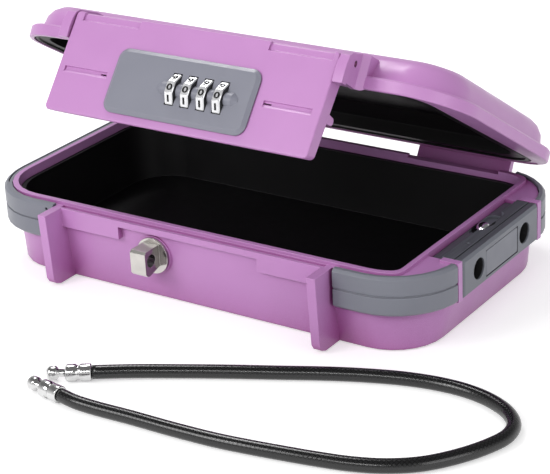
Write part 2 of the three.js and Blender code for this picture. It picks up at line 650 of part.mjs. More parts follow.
function makeHousing() {
  const x0 = TRAY_RIGHT_X + LIP_RIGHT + GAP;
  const y = END_HALF_Y;
  const c = TRIM_CHAMFER;
  let body = faceRight(loft([
    { points: outline(-y, y, TRIM_Z0, TRIM_Z1, 0.5, 2), z: x0 },
    { points: outline(-y, y, TRIM_Z0, TRIM_Z1, 0.5, 2), z: END_X - c },
    { points: outline(-y + c, y - c, TRIM_Z0 + c, TRIM_Z1 - c, 0.5, 2), z: END_X },
  ]));
  // Low flat beside the tray, and a long groove and a small round mark in the raised rim
  const grooveX = END_X - HOUSING_GROOVE_IN;
  body = cut(body,
    box(x0 - 1, HOUSING_STEP_X, -y - 1, y + 1, HOUSING_TOP_Z, TRIM_Z1 + 1),
    box(grooveX, grooveX + HOUSING_GROOVE_WIDE, -y - 1, y + 1, TRIM_Z1 - 0.7, TRIM_Z1 + 1),
    bar("z", MARK_R, TRIM_Z1 - 0.6, TRIM_Z1 + 1, [END_X - MARK_IN, MARK_Y], 16));
  // The hollow: a bay behind the end face for the slide, and a bay under the knob
  body = cut(body,
    box(slideX0 - 1.4, slideX1 + GAP, -hollowHalfY, hollowHalfY, TRIM_Z0 - 1, hollowTopZ),
    box(KNOB_X - 2.5, slideX1, -HOUSING_SCREW_Y + 5, HOUSING_SCREW_Y - 5, TRIM_Z0 - 1, hollowTopZ));
  // A stop for the spring hangs from the roof
  const stop = box(springX - 2.6, springX + 2.6, springY1 + GAP, springY1 + GAP + 2,
    springZ - 3, hollowTopZ + 0.5);
  body = join(body, stop);
  // The knob's slot lies in a shallow dish that runs under the step
  const dish = [dishFloorZ, TRIM_Z1 + 1].map((z) => ({
    points: outline(KNOB_X - DISH_HALF, KNOB_X + DISH_HALF, KNOB_Y - DISH_FRONT, KNOB_Y + DISH_REAR,
      DISH_HALF - 0.01, 5),
    z,
  }));
  const slotHalf = KNOB_STEM_R + RUN;
  const slot = box(KNOB_X - slotHalf, KNOB_X + slotHalf, KNOB_Y - slotHalf,
    KNOB_Y + SLIDE_TRAVEL + slotHalf, hollowTopZ - 1, HOUSING_TOP_Z + 1);
  body = cut(body, loft(dish), slot);
  // Sockets for the cable ends, and the recess of the access panel
  [-1, 1].forEach((side) => {
    body = cut(body, bar("x", SOCKET_D / 2, slideX1 - 1, END_X + 1,
      [side * SOCKET_HALF_Y, SOCKET_Z], 28));
    body = cut(body, bar("z", SCREW_R + GAP, TRIM_Z0 - 1, housingScrewTip + GAP,
      [SCREW_X, side * HOUSING_SCREW_Y], 16));
  });
  body = cut(body, box(END_X - PANEL_THICK - GAP, END_X + 1, -PANEL_HALF_Y - GAP,
    PANEL_HALF_Y + GAP, PANEL_Z0 - GAP, PANEL_Z1 + GAP));
  return body;
}

function makePanel() {
  return faceRight(loft([
    { points: outline(-PANEL_HALF_Y, PANEL_HALF_Y, PANEL_Z0, PANEL_Z1, 1, 3),
      z: END_X - PANEL_THICK },
    { points: outline(-PANEL_HALF_Y, PANEL_HALF_Y, PANEL_Z0, PANEL_Z1, 1, 3), z: END_X - 0.3 },
    { points: outline(-PANEL_HALF_Y + 0.3, PANEL_HALF_Y - 0.3, PANEL_Z0 + 0.3, PANEL_Z1 - 0.3, 0.8, 3),
      z: END_X - 0.05 },
  ]));
}

// The slide: a plate with a keyhole behind each socket, a shelf under the knob and a spring lug
function makeSlide() {
  const z0 = SOCKET_Z - SLIDE_HALF_HIGH;
  const shelfTop = hollowTopZ - GAP;
  const shelfThick = 1.4;
  let body = box(slideX0, slideX1, slideY0, slideY1, z0, shelfTop);
  body = join(body,
    box(KNOB_X - 2.2, slideX1, KNOB_Y - 4, KNOB_Y + 2.6, shelfTop - shelfThick, shelfTop),
    box(springX - 2.4, slideX1, springY0 - 2 - GAP, springY0 - GAP, springZ - 2.4, shelfTop));
  [-1, 1].forEach((side) => {
    const y = side * SOCKET_HALF_Y;
    body = cut(body,
      bar("x", KEY_WIDE_D / 2, slideX0 - 1, slideX1 + 1, [y - SLIDE_TRAVEL, SOCKET_Z], 20),
      bar("x", KEY_NARROW / 2, slideX0 - 1, slideX1 + 1, [y, SOCKET_Z], 16),
      box(slideX0 - 1, slideX1 + 1, y - SLIDE_TRAVEL, y,
        SOCKET_Z - KEY_NARROW / 2, SOCKET_Z + KEY_NARROW / 2));
  });
  return cut(body, bar("z", KNOB_STEM_R * 0.7 + GAP, shelfTop - 3, shelfTop + 1, [KNOB_X, KNOB_Y], 16));
}

// The release knob: a ball with a flat underside on a stem that steps down to a rivet tail
// through the shelf
function makeKnob() {
  const flatZ = dishFloorZ + GAP;
  const ballZ = flatZ + KNOB_FLAT;
  const shelfTop = hollowTopZ - GAP;
  const foot = shelfTop - 1.4 - 0.4;
  const start = Math.asin(KNOB_FLAT / KNOB_R);
  const points = [new THREE.Vector2(0, foot), new THREE.Vector2(KNOB_STEM_R * 0.7, foot),
    new THREE.Vector2(KNOB_STEM_R * 0.7, shelfTop + GAP), new THREE.Vector2(KNOB_STEM_R, shelfTop + GAP),
    new THREE.Vector2(KNOB_STEM_R, flatZ)];
  for (let i = 0; i <= 8; i += 1) {
    const angle = -start + (start + Math.PI / 2) * (i / 8);
    points.push(new THREE.Vector2(i === 8 ? 0 : KNOB_R * Math.cos(angle), ballZ + KNOB_R * Math.sin(angle)));
  }
  const geometry = new THREE.LatheGeometry(points, 24);
  geometry.rotateX(Math.PI / 2);
  geometry.translate(KNOB_X, KNOB_Y, 0);
  return solid(geometry);
}

// A compression spring with flat-cut ends, wound along an axis
function makeSpring(axis, from, to, centre, coilR, wireR, turns) {
  const steps = turns * 8;
  const reach = to - from - 2 * wireR;
  const points = [];
  for (let i = 0; i <= steps; i += 1) {
    const angle = (i / 8) * Math.PI * 2;
    const along = from + wireR + reach * (i / steps);
    const a = centre[0] + coilR * Math.cos(angle);
    const b = centre[1] + coilR * Math.sin(angle);
    points.push(axis === "x" ? new THREE.Vector3(along, a, b) : new THREE.Vector3(a, along, b));
  }
  return tubeAlong(points, wireR, 5, steps);
}

// A round section drawn out along a smooth curve through points
function tubeAlong(points, radius, sides, steps) {
  const shape = new THREE.Shape();
  for (let i = 0; i < sides; i += 1) {
    const angle = (i / sides) * Math.PI * 2;
    const place = [radius * Math.cos(angle), radius * Math.sin(angle)];
    if (i === 0) shape.moveTo(...place);
    else shape.lineTo(...place);
  }
  shape.closePath();
  const path = new THREE.CatmullRomCurve3(points, false, "centripetal");
  return new THREE.ExtrudeGeometry(shape, { steps, extrudePath: path, bevelEnabled: false });
}

// A housing screw is driven up from under the base
function makeHousingScrew(side) {
  const [x, y] = [SCREW_X, side * HOUSING_SCREW_Y];
  const foot = housingScrewZ - SCREW_HEAD_H;
  const shank = bar("z", SCREW_R, housingScrewZ - 0.5, housingScrewTip, [x, y], 14);
  const head = bar("z", SCREW_HEAD_R, foot, housingScrewZ, [x, y], 20);
  const recess = join(
    box(x - 1.5, x + 1.5, y - 0.35, y + 0.35, foot - 1, foot + 0.9),
    box(x - 0.35, x + 0.35, y - 1.5, y + 1.5, foot - 1, foot + 0.9));
  return cut(join(shank, head), recess);
}

// Latch staple and its nut

const stapleZ = (STAPLE_Z0 + STAPLE_Z1) / 2;

function makeStaple() {
  const seat = STAPLE_SEAT_Y - GAP;
  const x0 = STAPLE_X - STAPLE_WIDE / 2;
  const x1 = STAPLE_X + STAPLE_WIDE / 2;
  const front = STAPLE_FRONT_Y;
  const c = 1.1;
  const block = profile([
    [seat - 0.6, STAPLE_Z1], [front + c, STAPLE_Z1], [front, STAPLE_Z1 - c],
    [front, STAPLE_Z0 + c * 1.6], [front + c, STAPLE_Z0 + c * 0.4], [front + c * 2.4, STAPLE_Z0],
    [seat - 0.6, STAPLE_Z0 + 2.4],
  ], x0, x1);
  const flange = bar("y", STAPLE_FLANGE_R, seat - STAPLE_FLANGE_THICK, seat, [STAPLE_X, stapleZ], 32);
  const tail = bar("y", STAPLE_TAIL_R, seat - 0.5, STAPLE_TAIL_END_Y, [STAPLE_X, stapleZ], 20);
  const eye = bar("x", STAPLE_HOLE_R, x0 - 1, x1 + 1, [STAPLE_HOLE_Y, STAPLE_HOLE_Z], 24);
  return cut(join(block, flange, tail), eye);
}

function makeNut() {
  const y0 = -TRAY_HALF_Y + TRAY_DRAFT * (1 - (stapleZ - TRAY_FLOOR) / (lipZ - TRAY_FLOOR)) + 0.7;
  const nut = bar("y", NUT_ACROSS / Math.sqrt(3), y0, y0 + NUT_THICK, [STAPLE_X, stapleZ], 6);
  return cut(nut, bar("y", STAPLE_TAIL_R + GAP, y0 - 1, y0 + NUT_THICK + 1, [STAPLE_X, stapleZ], 20));
}

// Lid, drawn closed

const flangeTop = FLANGE_Z0 + FLANGE_H;
const lidTop = flangeTop + DOME_H;
const cheekInnerX = FLAP_HALF_X + FLAP_SWING;
const cheekOuterX = cheekInnerX + CHEEK_THICK;
const flapPinEndX = cheekOuterX - CHEEK_TAPER * 0.75;

function lidLayer(z, inset) {
  const x0 = LID_LEFT_X + inset;
  const x1 = LID_RIGHT_X - inset;
  const y = LID_HALF_Y - inset;
  return { points: outline(x0, x1, -y, y, LID_CORNER - inset, 8), z };
}

function domeLayers(inset, topZ, round) {
  const layers = [];
  for (let i = 0; i <= 4; i += 1) {
    const angle = (i / 4) * Math.PI / 2;
    const drawn = round * (1 - Math.cos(angle));
    layers.push(lidLayer(topZ - round * (1 - Math.sin(angle)), inset + 0.8 + drawn));
  }
  return layers;
}

function makeLidShell() {
  const flange = loft([
    lidLayer(FLANGE_Z0, 0.4), lidLayer(FLANGE_Z0 + 0.4, 0), lidLayer(flangeTop - 0.8, 0),
    lidLayer(flangeTop, 0.8),
  ]);
  const dome = loft([lidLayer(flangeTop - 1, DOME_INSET), lidLayer(flangeTop, DOME_INSET),
    ...domeLayers(DOME_INSET, lidTop, DOME_ROUND)]);
  const ledgeTop = FLANGE_Z0 + LID_LEDGE;
  const mouth = loft([linerLayer(FLANGE_Z0 - 1, -GAP), linerLayer(ledgeTop + 0.1, -GAP)]);
  const hollowFoot = loft([lidLayer(ledgeTop, LID_WALL), lidLayer(flangeTop - LID_WALL, LID_WALL)]);
  const hollow = loft([
    lidLayer(ledgeTop, DOME_INSET + LID_WALL), lidLayer(flangeTop, DOME_INSET + LID_WALL),
    ...domeLayers(DOME_INSET + LID_WALL, lidTop - LID_WALL, DOME_ROUND - LID_WALL),
  ]);
  // Cheeks hang beside the flap; each grows thinner towards the lid and runs into it with a slant
  const cheekFoot = RIM_Z + GAP;
  const ribFrontY = -RIB_TOP_Y - SWING;
  const cheeks = mirrorX((side) => {
    const plan = new THREE.Shape([
      [cheekInnerX, CHEEK_FRONT_Y - 1], [cheekOuterX, CHEEK_FRONT_Y - 1],
      [cheekOuterX - CHEEK_TAPER, -LID_HALF_Y - 3], [cheekOuterX, -LID_HALF_Y + 0.2],
      [cheekOuterX, 0], [cheekInnerX, 0],
    ].map(([x, y]) => new THREE.Vector2(x, y)));
    const geometry = new THREE.ExtrudeGeometry(plan, { depth: lidTop, bevelEnabled: false });
    const column = side > 0 ? solid(geometry) : solid(geometry).mirror([1, 0, 0]);
    return profile([
      [-LID_HALF_Y + 1.5, cheekFoot + 1.2], [-LID_HALF_Y - 1, cheekFoot], [ribFrontY, cheekFoot],
      [ribFrontY, RIM_Z - CHEEK_FOOT], [CHEEK_FRONT_Y, RIM_Z - CHEEK_FOOT],
      [CHEEK_FRONT_Y, FLAP_TOP_Z - 8], [CHEEK_FRONT_Y + 0.6, FLAP_TOP_Z - 3.6],
      [CHEEK_FRONT_Y + 1.9, FLAP_TOP_Z - 0.2], [CHEEK_FRONT_Y + 4.3, FLAP_TOP_Z + 1.6],
      [CHEEK_FRONT_Y + CHEEK_RUN_IN, FLAP_TOP_Z + 4], [-LID_HALF_Y + DOME_INSET + 3, FLAP_TOP_Z + 4],
      [-LID_HALF_Y + DOME_INSET + 3, flangeTop - 1], [-LID_HALF_Y + 1.5, flangeTop - 1],
    ], ...span(side, cheekInnerX - 0.1, cheekOuterX + 0.1)).intersect(column);
  });
  const arms = mirrorX((side) => {
    const [x0, x1] = span(side, ARM_INNER_X, ARM_OUTER_X);
    const inner = LID_HALF_Y - 0.4;
    return join(
      profile([
        [LID_HALF_Y - 1.2, flangeTop - 1], [LID_HALF_Y - 1.2, FLANGE_Z0 + 1], [inner, FLANGE_Z0 + 1],
        [inner, HINGE_Z + 3], [HINGE_Y + 3, HINGE_Z], [HINGE_Y + BARREL_R, HINGE_Z],
        [LID_HALF_Y + ARM_THICK, HINGE_Z + 12], [LID_HALF_Y + ARM_THICK - 1, flangeTop - 3],
        [LID_HALF_Y + ARM_THICK - 3.4, flangeTop - 1],
      ], x0, x1),
      bar("x", BARREL_R, x0, x1, [HINGE_Y, HINGE_Z], 24));
  });
  // Room for the lip at the right corners
  const lipRoom = loft([FLANGE_Z0 - 1, lipZ + 0.5].map((z) => ({
    points: mouthOutline(-LIP_SIDE - 0.5, TRAY_RIGHT_X + LIP_RIGHT + 0.5, TRAY_SMALL_CORNER + 1), z,
  })));
  let body = cut(join(flange, dome, ...cheeks, ...arms), mouth, hollowFoot, hollow, lipRoom);
  mirrorX((side) => {
    body = cut(body,
      bar("x", HINGE_PIN_R + RUN, ...span(side, ARM_INNER_X - 1, ARM_OUTER_X + 1), [HINGE_Y, HINGE_Z], 16),
      bar("x", FLAP_PIN_R + GAP, ...span(side, cheekInnerX - 1, cheekOuterX + 1),
        [FLAP_PIN_Y, FLAP_PIN_Z], 14));
  });
  return body;
}

function linerLayer(z, inset) {
  const shift = inset + LID_WALL + GAP;
  const layer = outline(LID_LEFT_X + shift, LID_LINER_RIGHT_X - inset, -LID_HALF_Y + shift,
    LID_HALF_Y - shift, [LID_CORNER * 0.55, LID_CORNER - shift, LID_CORNER - shift, LID_CORNER * 0.55], 8);
  return { points: layer.map(([x, y]) => [x > 0 ? x + LID_LINER_SKEW * y : x, y]), z };
}

function makeLidLiner() {
  const foot = lipZ + 0.45;
  const rimTop = flangeTop - LID_WALL - GAP;
  const top = lidTop - LID_WALL - GAP;
  const round = DOME_ROUND - LID_WALL;
  const rim = loft([linerLayer(foot, 0.2), linerLayer(rimTop, 0.2)]);
  const skin = DOME_INSET + 0.8;
  const wall = loft([linerLayer(rimTop - 0.5, skin), linerLayer(top - round, skin),
    linerLayer(top - round * 0.3, skin + round * 0.3), linerLayer(top, skin + round)]);
  const inset = skin + LINER_WALL;
  const hollow = loft([linerLayer(foot - 1, inset), linerLayer(top - round, inset),
    linerLayer(top - LINER_WALL, inset + round - LINER_WALL)]);
  const hollowRim = loft([linerLayer(foot - 1, LINER_WALL), linerLayer(rimTop - LINER_WALL, LINER_WALL)]);
  return cut(join(rim, wall), hollow, hollowRim);
}

// Flap, drawn closed

const flapFootZ = FLAP_TOP_Z - FLAP_LENGTH;
const plateFrontY = FLAP_FACE_Y - GAP - PLATE_THICK;
const plateZ1 = FLAP_TOP_Z - PLATE_DOWN;
const plateZ0 = plateZ1 - PLATE_HIGH;
const dialY = plateFrontY + DIAL_SUNK;
const dialZ = FLAP_TOP_Z - DIAL_DOWN;
const openX0 = PLATE_LEFT_X + 3.4;
const openX1 = PLATE_RIGHT_X - 3.4;
const openZ0 = plateZ0 + 3.2;
const openZ1 = plateZ1 - 3.2;
const pegPlaces = [];
[PLATE_LEFT_X + 1.7, PLATE_RIGHT_X - 1.7].forEach((x) => {
  [plateZ0 + PLATE_CORNER + 1, plateZ1 - PLATE_CORNER - 1].forEach((z) => pegPlaces.push([x, z]));
});
const caseFrontY = FLAP_FACE_Y + FLAP_SHELL + GAP;
const caseBackY = dialY + DIAL_R + 0.4 + CASE_WALL;
const tabX = [CASE_LEFT_X - TAB_REACH, CASE_RIGHT_X + TAB_REACH];
const tabZ = dialZ - TAB_DROP;
const tabBackY = caseBackY - 2.2;
const tabFrontY = tabBackY - 1.8;

function flapLayer(y, inset, draft = 0) {
  return {
    points: outline(-FLAP_HALF_X + inset, FLAP_HALF_X - inset, flapFootZ + inset + draft, FLAP_TOP_Z - inset,
      Math.max(0.6, FLAP_CORNER - inset), 4),
    z: -y,
  };
}

function makeFlapShell() {
  const backY = FLAP_FACE_Y + FLAP_DEEP_TOP;
  const outer = faceFront(loft([flapLayer(backY, 0, FLAP_FOOT_DRAFT), flapLayer(FLAP_FACE_Y + FLAP_EDGE, 0),
    flapLayer(FLAP_FACE_Y + FLAP_EDGE * 0.3, FLAP_EDGE * 0.3), flapLayer(FLAP_FACE_Y, FLAP_EDGE)]));
  const inner = faceFront(loft([flapLayer(backY + 1, FLAP_SHELL, FLAP_FOOT_DRAFT),
    flapLayer(FLAP_FACE_Y + FLAP_SHELL, FLAP_SHELL)]));
  // The side walls grow shallower towards the foot
  const slope = profile([
    [backY + 1, FLAP_TOP_Z - FLAP_STRAIGHT], [backY + 1, flapFootZ - 1],
    [FLAP_FACE_Y + FLAP_DEEP_FOOT, flapFootZ - 1], [backY, FLAP_TOP_Z - FLAP_STRAIGHT],
  ], -FLAP_HALF_X - 1, FLAP_HALF_X + 1);
  const ears = mirrorX((side) => {
    const [x0, x1] = span(side, FLAP_HALF_X - EAR_THICK, FLAP_HALF_X);
    return join(
      bar("x", EAR_R, x0, x1, [FLAP_PIN_Y, FLAP_PIN_Z], 20),
      profile([[FLAP_FACE_Y + 1.6, FLAP_PIN_Z - EAR_R - 3], [FLAP_PIN_Y, FLAP_PIN_Z - EAR_R],
        [FLAP_PIN_Y, FLAP_TOP_Z - 0.2], [FLAP_FACE_Y + 1.6, FLAP_TOP_Z - 0.2]], x0, x1));
  });
  const bosses = tabX.map((x) => bar("y", 2.6, FLAP_FACE_Y + 1, tabFrontY - GAP, [x, tabZ], 16));
  // A small nub with a round end stands behind each side wall
  const nubs = mirrorX((side) => {
    const [x0, x1] = span(side, FLAP_HALF_X - FLAP_SHELL, FLAP_HALF_X - 0.2);
    const [z0, z1] = [FLAP_TOP_Z - NUB_DOWN - NUB_HIGH, FLAP_TOP_Z - NUB_DOWN];
    const round = NUB_HIGH / 2;
    return join(
      profile([[FLAP_FACE_Y + 3, z0 - 0.6], [FLAP_FACE_Y + NUB_REACH - round, z0],
        [FLAP_FACE_Y + NUB_REACH - round, z1], [FLAP_FACE_Y + 3, z1 + 0.6]], x0, x1),
      bar("x", round, x0, x1, [FLAP_FACE_Y + NUB_REACH - round, z0 + round], 20));
  });
  let body = join(cut(outer, inner, slope), ...ears, ...bosses, ...nubs);
  // Engraved lines beside the lock plate, and long steps along the top edge
  const lineZ = FLAP_TOP_Z - LINE_DOWN;
  [[-66.3, PLATE_LEFT_X - 3.8], [PLATE_RIGHT_X + 4, 65.5]].forEach(([x0, x1]) => {
    body = cut(body, profile([
      [FLAP_FACE_Y - 1, lineZ + LINE_HALF + 0.2], [FLAP_FACE_Y - 1, lineZ - LINE_HALF],
      [FLAP_FACE_Y, lineZ - LINE_HALF], [FLAP_FACE_Y + LINE_DEEP, lineZ],
      [FLAP_FACE_Y + LINE_DEEP, lineZ + LINE_HALF - 0.2], [FLAP_FACE_Y, lineZ + LINE_HALF + 0.1],
    ].reverse(), x0, x1));
  });
  [[-65.5, PLATE_LEFT_X + STEP_PAST_PLATE], [PLATE_RIGHT_X - 2, 67.5]].forEach(([x0, x1]) => {
    body = cut(body, profile([
      [FLAP_FACE_Y - 1, FLAP_TOP_Z + 1], [FLAP_FACE_Y - 1, FLAP_TOP_Z - STEP_HIGH],
      [FLAP_FACE_Y, FLAP_TOP_Z - STEP_HIGH], [FLAP_FACE_Y + STEP_DEEP, FLAP_TOP_Z - STEP_HIGH + 0.9],
      [FLAP_FACE_Y + STEP_DEEP, FLAP_TOP_Z - 1.6], [FLAP_FACE_Y + STEP_DEEP + 0.5, FLAP_TOP_Z - 0.6],
      [FLAP_FACE_Y + STEP_DEEP + 1.5, FLAP_TOP_Z], [FLAP_FACE_Y + STEP_DEEP + 1.5, FLAP_TOP_Z + 1],
    ].reverse(), x0, x1));
  });
  // Window for the lock, a slot for the axle's collar and spring, and the run of its long end
  body = cut(body,
    box(openX0, openX1, FLAP_FACE_Y - 1, FLAP_FACE_Y + FLAP_SHELL + 1, openZ0, openZ1),
    box(openX1 - 1, CASE_RIGHT_X - CASE_WALL, FLAP_FACE_Y - 1, FLAP_FACE_Y + FLAP_SHELL + 1,
      dialZ - 3, dialZ + 3),
    box(CASE_LEFT_X + 1, axleX1 + BOLT_TRAVEL + 1, dialY - AXLE_R - 0.5, FLAP_FACE_Y + FLAP_SHELL + 1,
      dialZ - AXLE_R - 0.5, dialZ + AXLE_R + 0.5));
  pegPlaces.forEach(([x, z]) => {
    body = cut(body, bar("y", 1 + GAP, FLAP_FACE_Y - 1, FLAP_FACE_Y + FLAP_SHELL + 1, [x, z], 12));
  });
  tabX.forEach((x) => {
    body = cut(body, bar("y", SCREW_R + GAP, lockScrewFootY - GAP, tabFrontY + 1, [x, tabZ], 14));
  });
  mirrorX((side) => {
    const [x0, x1] = span(side, FLAP_HALF_X - EAR_THICK - 1, FLAP_HALF_X + 1);
    body = cut(body, bar("x", FLAP_PIN_R + RUN, x0, x1, [FLAP_PIN_Y, FLAP_PIN_Z], 14));
  });
  return body;
}

const lockScrewFootY = FLAP_FACE_Y + 2;

function plateLayer(y, inset) {
  return {
    points: outline(PLATE_LEFT_X + inset, PLATE_RIGHT_X - inset, plateZ0 + inset, plateZ1 - inset,
      PLATE_CORNER - inset, 5),
    z: -y,
  };
}

function dialX(i) {
  return DIAL_FIRST_X + i * DIAL_PITCH;
}

function makeLockPlate() {
  const backY = FLAP_FACE_Y - GAP;
  let body = faceFront(loft([plateLayer(backY, 0), plateLayer(plateFrontY + 1.2, 0), plateLayer(plateFrontY, 1.9)]));
  // A half-round ridge runs behind the dials; its ends are round
  const ridgeX0 = dialX(0) - RIDGE_LEFT;
  const ridgeX1 = dialX(DIAL_COUNT - 1) + RIDGE_RIGHT;
  const ridgeY = plateFrontY - RIDGE_RISE + RIDGE_R;
  const ridge = join(
    bar("x", RIDGE_R, ridgeX0 + 2.5, ridgeX1 - 2.5, [ridgeY, dialZ], 28),
    bar("x", RIDGE_R - 1.6, ridgeX0, ridgeX0 + 2.6, [ridgeY, dialZ], 28, RIDGE_R),
    bar("x", RIDGE_R, ridgeX1 - 2.6, ridgeX1, [ridgeY, dialZ], 28, RIDGE_R - 1.6))
    .intersect(box(ridgeX0 - 1, ridgeX1 + 1, plateFrontY - RIDGE_R, backY, plateZ0, plateZ1));
  body = join(body, ridge);
  for (let i = 0; i < DIAL_COUNT; i += 1) {
    const half = DIAL_WIDE / 2 + DIAL_SIDE_ROOM;
    body = cut(body, bar("x", DIAL_R + DIAL_ROOM, dialX(i) - half, dialX(i) + half, [dialY, dialZ], 36));
  }
  pegPlaces.forEach(([x, z]) => {
    body = join(body, bar("y", 1, backY - 0.8, FLAP_FACE_Y + FLAP_SHELL + 0.2, [x, z], 12));
  });
  return body;
}

function makeDial(i) {
  const x = dialX(i);
  const half = DIAL_WIDE / 2;
  const drum = join(
    bar("x", DIAL_R, x - half + 0.5, x + half - 0.5, [0, 0], DIAL_FACES),
    bar("x", DIAL_R - 0.5, x - half, x - half + 0.5, [0, 0], DIAL_FACES, DIAL_R),
    bar("x", DIAL_R, x + half - 0.5, x + half, [0, 0], DIAL_FACES, DIAL_R - 0.5));
  const turned = drum.rotate([dialFlatTurn, 0, 0]).translate([0, dialY, dialZ]);
  return cut(turned, bar("x", DIAL_BORE_R, x - half - 1, x + half + 1, [dialY, dialZ], 20));
}

// The drum is drawn with a corner at the top; turned so, a flat faces the front for any number of faces
const dialFlatTurn = 90 - 180 / DIAL_FACES;

// A code wheel sits inside each dial round the axle, with a gate cut in it
function makeCodeWheel(i) {
  const x = dialX(i);
  const half = DIAL_PITCH / 2 - 0.2;
  const ring = cut(
    bar("x", DIAL_BORE_R - GAP, x - half, x + half, [dialY, dialZ], 20),
    bar("x", AXLE_R + GAP, x - half - 1, x + half + 1, [dialY, dialZ], 16));
  return cut(ring, box(x + half - 1.4, x + half + 1, dialY + AXLE_R, dialY + DIAL_R,
    dialZ - 0.9, dialZ + 0.9));
}

// The bolt: a carriage fixed to the axle's long end, with a nose that enters the staple's eye
const bayX0 = STAPLE_X - STAPLE_WIDE / 2 - 3.2;
const bayX1 = STAPLE_X + STAPLE_WIDE / 2 + 3.2;
const carriageX0 = CASE_LEFT_X + CASE_WALL + GAP;
const carriageX1 = carriageX0 + 4;
const noseX1 = bayX0 + 0.2;

function makeBolt() {
  const block = box(carriageX0, carriageX1, caseFrontY + 0.2, STAPLE_HOLE_Y + BOLT_R + 0.1,
    dialZ - 3.4, STAPLE_HOLE_Z + BOLT_R + 0.8);
  const nose = join(
    bar("x", BOLT_R, carriageX1 - 0.5, noseX1 - 1, [STAPLE_HOLE_Y, STAPLE_HOLE_Z], 20),
    bar("x", BOLT_R, noseX1 - 1, noseX1, [STAPLE_HOLE_Y, STAPLE_HOLE_Z], 20, BOLT_R - 0.9));
  return cut(join(block, nose),
    bar("x", AXLE_R + GAP, carriageX0 - 1, carriageX1 + 1, [dialY, dialZ], 18));
}

const axleX1 = CASE_RIGHT_X + 0.8;
const collarX0 = dialX(DIAL_COUNT - 1) + DIAL_PITCH / 2 + 0.2;
const collarX1 = collarX0 + 1;
const boltSpringX0 = collarX1 + GAP;
const boltSpringX1 = CASE_RIGHT_X - CASE_WALL - GAP;

function makeAxle() {
  return join(
    bar("x", AXLE_R, carriageX0 - 0.2, axleX1, [dialY, dialZ], 18),
    bar("x", AXLE_R + 1.4, collarX0, collarX1, [dialY, dialZ], 20));
}

function makeLockCase() {
  const z0 = dialZ - CASE_DOWN;
  const z1 = STAPLE_Z1 + BAY_TOP_ROOM + CASE_ROOF;
  const w = CASE_WALL;
  const shell = cut(box(CASE_LEFT_X, CASE_RIGHT_X, caseFrontY, caseBackY, z0, z1),
    box(CASE_LEFT_X + w, CASE_RIGHT_X - w, caseFrontY - 1, caseBackY - w, z0 + w, z1 - w));
  const walls = [bayX0 - BAY_WALL, bayX1].map((x) => box(x, x + BAY_WALL, caseFrontY,
    caseBackY - w + 0.5, z0 + w - 0.5, z1 - w + 0.5));
  const tabs = tabX.map((x) => {
    const [x0, x1] = x < 0 ? [x - 3, CASE_LEFT_X + 0.5] : [CASE_RIGHT_X - 0.5, x + 3];
    return box(x0, x1, tabFrontY, tabBackY, tabZ - 3.2, tabZ + 3.2);
  });
  let body = join(shell, ...walls, ...tabs);
  body = cut(body,
    // the bay that the staple swings into, open at the foot so that the lid can come down first
    box(bayX0, bayX1, caseFrontY - 1, caseBackY + 1, z0 - 1, STAPLE_Z1 + BAY_TOP_ROOM),
    // the axle's run, and its far end through the side wall
    bar("x", AXLE_R + RUN, bayX0 - BAY_WALL - 1, bayX1 + BAY_WALL + 1, [dialY, dialZ], 16),
    bar("x", AXLE_R + RUN, CASE_RIGHT_X - w - 1, CASE_RIGHT_X + 1, [dialY, dialZ], 16),
    // the nose's guide
    bar("x", BOLT_R + RUN, bayX0 - BAY_WALL - 1, bayX0 + 1, [STAPLE_HOLE_Y, STAPLE_HOLE_Z], 18));
  tabX.forEach((x) => {
    body = cut(body, bar("y", SCREW_R + GAP, tabFrontY - 1, tabBackY + 1, [x, tabZ], 14));
  });
  return body;
}

// A leaf with one finger under each dial
function makeDetent() {
  const foot = dialZ - CASE_DOWN + CASE_WALL + GAP;
  const tip = dialZ - DIAL_R * Math.cos(Math.PI / DIAL_FACES) - 0.75;
  const y0 = dialY - 0.2;
  const leaf = box(dialX(0) - 3, dialX(DIAL_COUNT - 1) + 3, y0, y0 + 7, foot, foot + 0.6);
  const fingers = [];
  for (let i = 0; i < DIAL_COUNT; i += 1) {
    fingers.push(profile([[y0 + 6.9, foot + 0.3], [y0 + 0.8, tip], [y0, tip], [y0 + 5.6, foot + 0.3]],
      dialX(i) - 1.4, dialX(i) + 1.4));
  }
  return join(leaf, ...fingers);
}

function makeLockScrew(x) {
  const head = tabBackY + GAP;
  return cut(join(bar("y", SCREW_R, lockScrewFootY, head + 0.5, [x, tabZ], 14),
    bar("y", SCREW_HEAD_R, head, head + 1.5, [x, tabZ], 20)),
  box(x - 1.5, x + 1.5, head + 0.9, head + 3, tabZ - 0.35, tabZ + 0.35));
}

// Cable and its end fittings

const cableZ = CABLE_D / 2;

function cableEnd(atStart) {
  const at = atStart ? CABLE_ROUTE[0] : CABLE_ROUTE[CABLE_ROUTE.length - 1];
  const run = new THREE.Vector2(...(atStart ? CABLE_FIRST_RUN : CABLE_LAST_RUN)).normalize();
  return { at, run };
}

function makeCable() {
  const points = CABLE_ROUTE.map(([x, y], i) => {
    const near = Math.min(i, CABLE_ROUTE.length - 1 - i);
    const lift = (FERRULE_R - cableZ) * Math.max(0, 1 - near / 2);
    return new THREE.Vector3(x, y, cableZ + lift);
  });
  return tubeAlong(points, CABLE_D / 2, CABLE_SIDES, CABLE_STEPS);
}

// A turned piece drawn from the cable's end outwards, laid along the run at that end
function layAlong(points, atStart, from, sides) {
  const { at, run } = cableEnd(atStart);
  const geometry = new THREE.LatheGeometry(points.map(([r, along]) => new THREE.Vector2(r, along)), sides);
  geometry.rotateZ(-Math.PI / 2);
  geometry.translate(from, 0, 0);
  geometry.rotateZ(Math.atan2(run.y, run.x));
  geometry.translate(at[0], at[1], FERRULE_R);
  return geometry;
}

